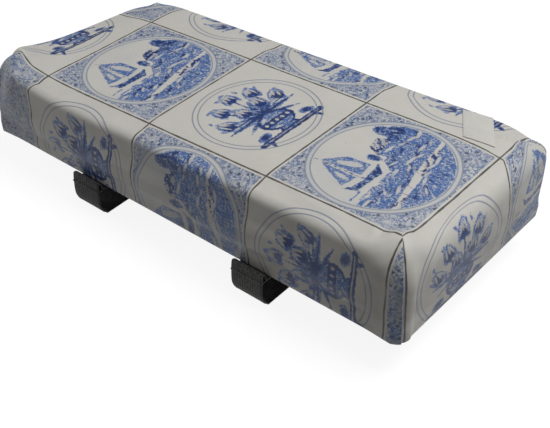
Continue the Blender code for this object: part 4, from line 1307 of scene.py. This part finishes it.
class CUSHION_OT_straps(bpy.types.Operator):
    """Build the two straps and finish their fastening tapes"""

    bl_idname = "cushion.straps"
    bl_label = "Straps"

    def execute(self, context):
        props = settings()
        webbing = webbing_material(props.look)
        for name, centre_x in zip(("front", "rear"), props.strap.places):
            piece = build_strap(f"{name}_webbing", centre_x, props.strap, props.shape)
            piece.data.materials.append(webbing)
            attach(piece, "root")
            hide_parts(f"{name}_strap")
        for kind in ("hook", "loop"):
            tape = tape_material(props.look, f"{kind}_tape_look", kind == "hook")
            dress_nodes((f"front_{kind}_patch", f"rear_{kind}_patch"), tape)
        return {"FINISHED"}


class CUSHION_OT_base(bpy.types.Operator):
    """Finish the board and the lining"""

    bl_idname = "cushion.base"
    bl_label = "Base"

    def execute(self, context):
        look = settings().look
        dress_nodes(("base_lining",), lining_material(look))
        dress_nodes(("base_board",), plywood_material(look))
        return {"FINISHED"}


class CUSHION_OT_fasteners(bpy.types.Operator):
    """Finish the screws, washers and staples"""

    bl_idname = "cushion.fasteners"
    bl_label = "Fasteners"

    def execute(self, context):
        dress_nodes(("screw_", "washer_", "staple_"), steel_material(settings().look))
        return {"FINISHED"}


class CUSHION_OT_stage(bpy.types.Operator):
    """Set up the floor, the lights and the camera"""

    bl_idname = "cushion.stage"
    bl_label = "Stage"

    def execute(self, context):
        stage = settings().stage
        build_floor(stage)
        area_light("key_light", (0.56, 0.36, 1.34), (0.0, 0.0, 0.03), 0.9, stage.key)
        area_light("fill_light", (-1.00, -0.42, 0.62), (-0.16, 0.0, 0.03), 0.8, stage.fill)
        world = bpy.data.worlds.new("studio")
        context.scene.world = world
        world.use_nodes = True
        back = world.node_tree.nodes["Background"].inputs
        feed(back["Color"], (1.0, 1.0, 1.0))
        seen = put(world.node_tree, "ShaderNodeLightPath")
        shown = seen["Is Camera Ray"].math("MAXIMUM", seen["Is Transmission Ray"])
        feed(back["Strength"], ramp(shown, 0.0, 1.0, stage.ambient, 1.0))
        camera = bpy.data.objects.new("camera", bpy.data.cameras.new("camera"))
        camera.data.lens = stage.lens
        camera.data.sensor_width = 36.0
        camera.data.clip_start = 0.01
        camera.matrix_world = camera_matrix(Vector(stage.camera))
        context.scene.collection.objects.link(camera)
        context.scene.camera = camera
        context.scene.view_settings.view_transform = "Standard"
        return {"FINISHED"}


def camera_matrix(position):
    """The camera's frame: its directions, tilted with the top's slope to the cushion's
    own frame."""
    tilt = Matrix.Rotation(-math.atan(settings().shape.slope), 3, "Y")
    forward = tilt @ Vector(VIEW_FORWARD)
    right = tilt @ Vector(VIEW_RIGHT)
    axes = Matrix((right, right.cross(forward), -forward)).transposed()
    return Matrix.Translation(position) @ axes.to_4x4()


def area_light(name, position, target, size, power):
    """A square area light that looks at a point."""
    light = bpy.data.lights.new(name, "AREA")
    light.size = size
    light.energy = power
    lamp = bpy.data.objects.new(name, light)
    lamp.location = position
    lamp.rotation_euler = (Vector(target) - Vector(position)).to_track_quat("-Z", "Y").to_euler()
    bpy.context.scene.collection.objects.link(lamp)


def build_floor(stage):
    """A level floor under the lowest point: white to the camera, but for the cushion's
    soft shadow, darker to the light that it returns, and clear from below."""
    low = CAD_BOX[0][2] - FLOOR_GAP
    around = ((-1, -1), (1, -1), (1, 1), (-1, 1))
    points = [(a * FLOOR_REACH, b * FLOOR_REACH, low) for a, b in around]
    floor = add_quads("studio_floor", points, [[0, 1, 2, 3]])
    material = bpy.data.materials.new("studio_floor_look")
    material.use_nodes = True
    tree = material.node_tree
    shader = tree.nodes["Principled BSDF"]
    shader.inputs["Roughness"].default_value = 0.9
    shader.inputs["Specular IOR Level"].default_value = 0.1
    tone = noise(put(tree, "ShaderNodeTexCoord")["Object"], 3.0)
    seen = put(tree, "ShaderNodeLightPath")
    shade = tuple(value * 0.985 for value in stage.floor)
    shown = mix(tone, (0.80, 0.80, 0.80), (0.788, 0.788, 0.788))
    feed(shader.inputs["Base Color"], mix(seen["Is Camera Ray"], mix(tone, stage.floor, shade), shown))
    white = put(tree, "ShaderNodeEmission", {"Color": (1.0, 1.0, 1.0), "Strength": 1.12})[0]
    share = seen["Is Camera Ray"].math("MAXIMUM", seen["Is Glossy Ray"]) * 0.80
    above = put(tree, "ShaderNodeMixShader", {0: share, 1: Value(tree, shader.outputs[0]), 2: white})[0]
    clear = put(tree, "ShaderNodeBsdfTransparent")[0]
    under = put(tree, "ShaderNodeNewGeometry")["Backfacing"]
    whole = put(tree, "ShaderNodeMixShader", {0: under, 1: above, 2: clear})[0]
    feed(tree.nodes["Material Output"].inputs["Surface"], whole)
    floor.data.materials.append(material)


class CUSHION_PT_panel(bpy.types.Panel):
    """The sidebar panel"""

    bl_idname = "CUSHION_PT_panel"
    bl_label = "Seat Cushion"
    bl_space_type = "VIEW_3D"
    bl_region_type = "UI"
    bl_category = "Cushion"

    def draw(self, context):
        layout = self.layout
        for operator in OPERATORS:
            layout.operator(operator.bl_idname)
        props = settings()
        for group in (props.shape, props.label, props.strap, props.press, props.look, props.stage):
            box = layout.box()
            for name in group.__annotations__:
                box.prop(group, name)


OPERATORS = (CUSHION_OT_cover, CUSHION_OT_label, CUSHION_OT_straps, CUSHION_OT_base,
             CUSHION_OT_fasteners, CUSHION_OT_stage)
CLASSES = (CushionShapeProps, CushionLabelProps, CushionStrapProps, CushionPressProps, CushionLookProps,
           CushionStageProps, CushionProps, *OPERATORS, CUSHION_PT_panel)


def register():
    """Register the classes and the settings."""
    for each in CLASSES:
        bpy.utils.register_class(each)
    bpy.types.Scene.cushion = bpy.props.PointerProperty(type=CushionProps)


def unregister():
    """Remove the settings and the classes."""
    del bpy.types.Scene.cushion
    for each in reversed(CLASSES):
        bpy.utils.unregister_class(each)


def main():
    """Build every piece in order."""
    register()
    bpy.ops.cushion.cover()
    bpy.ops.cushion.label()
    bpy.ops.cushion.straps()
    bpy.ops.cushion.base()
    bpy.ops.cushion.fasteners()
    bpy.ops.cushion.stage()


if __name__ == "__main__":
    main()
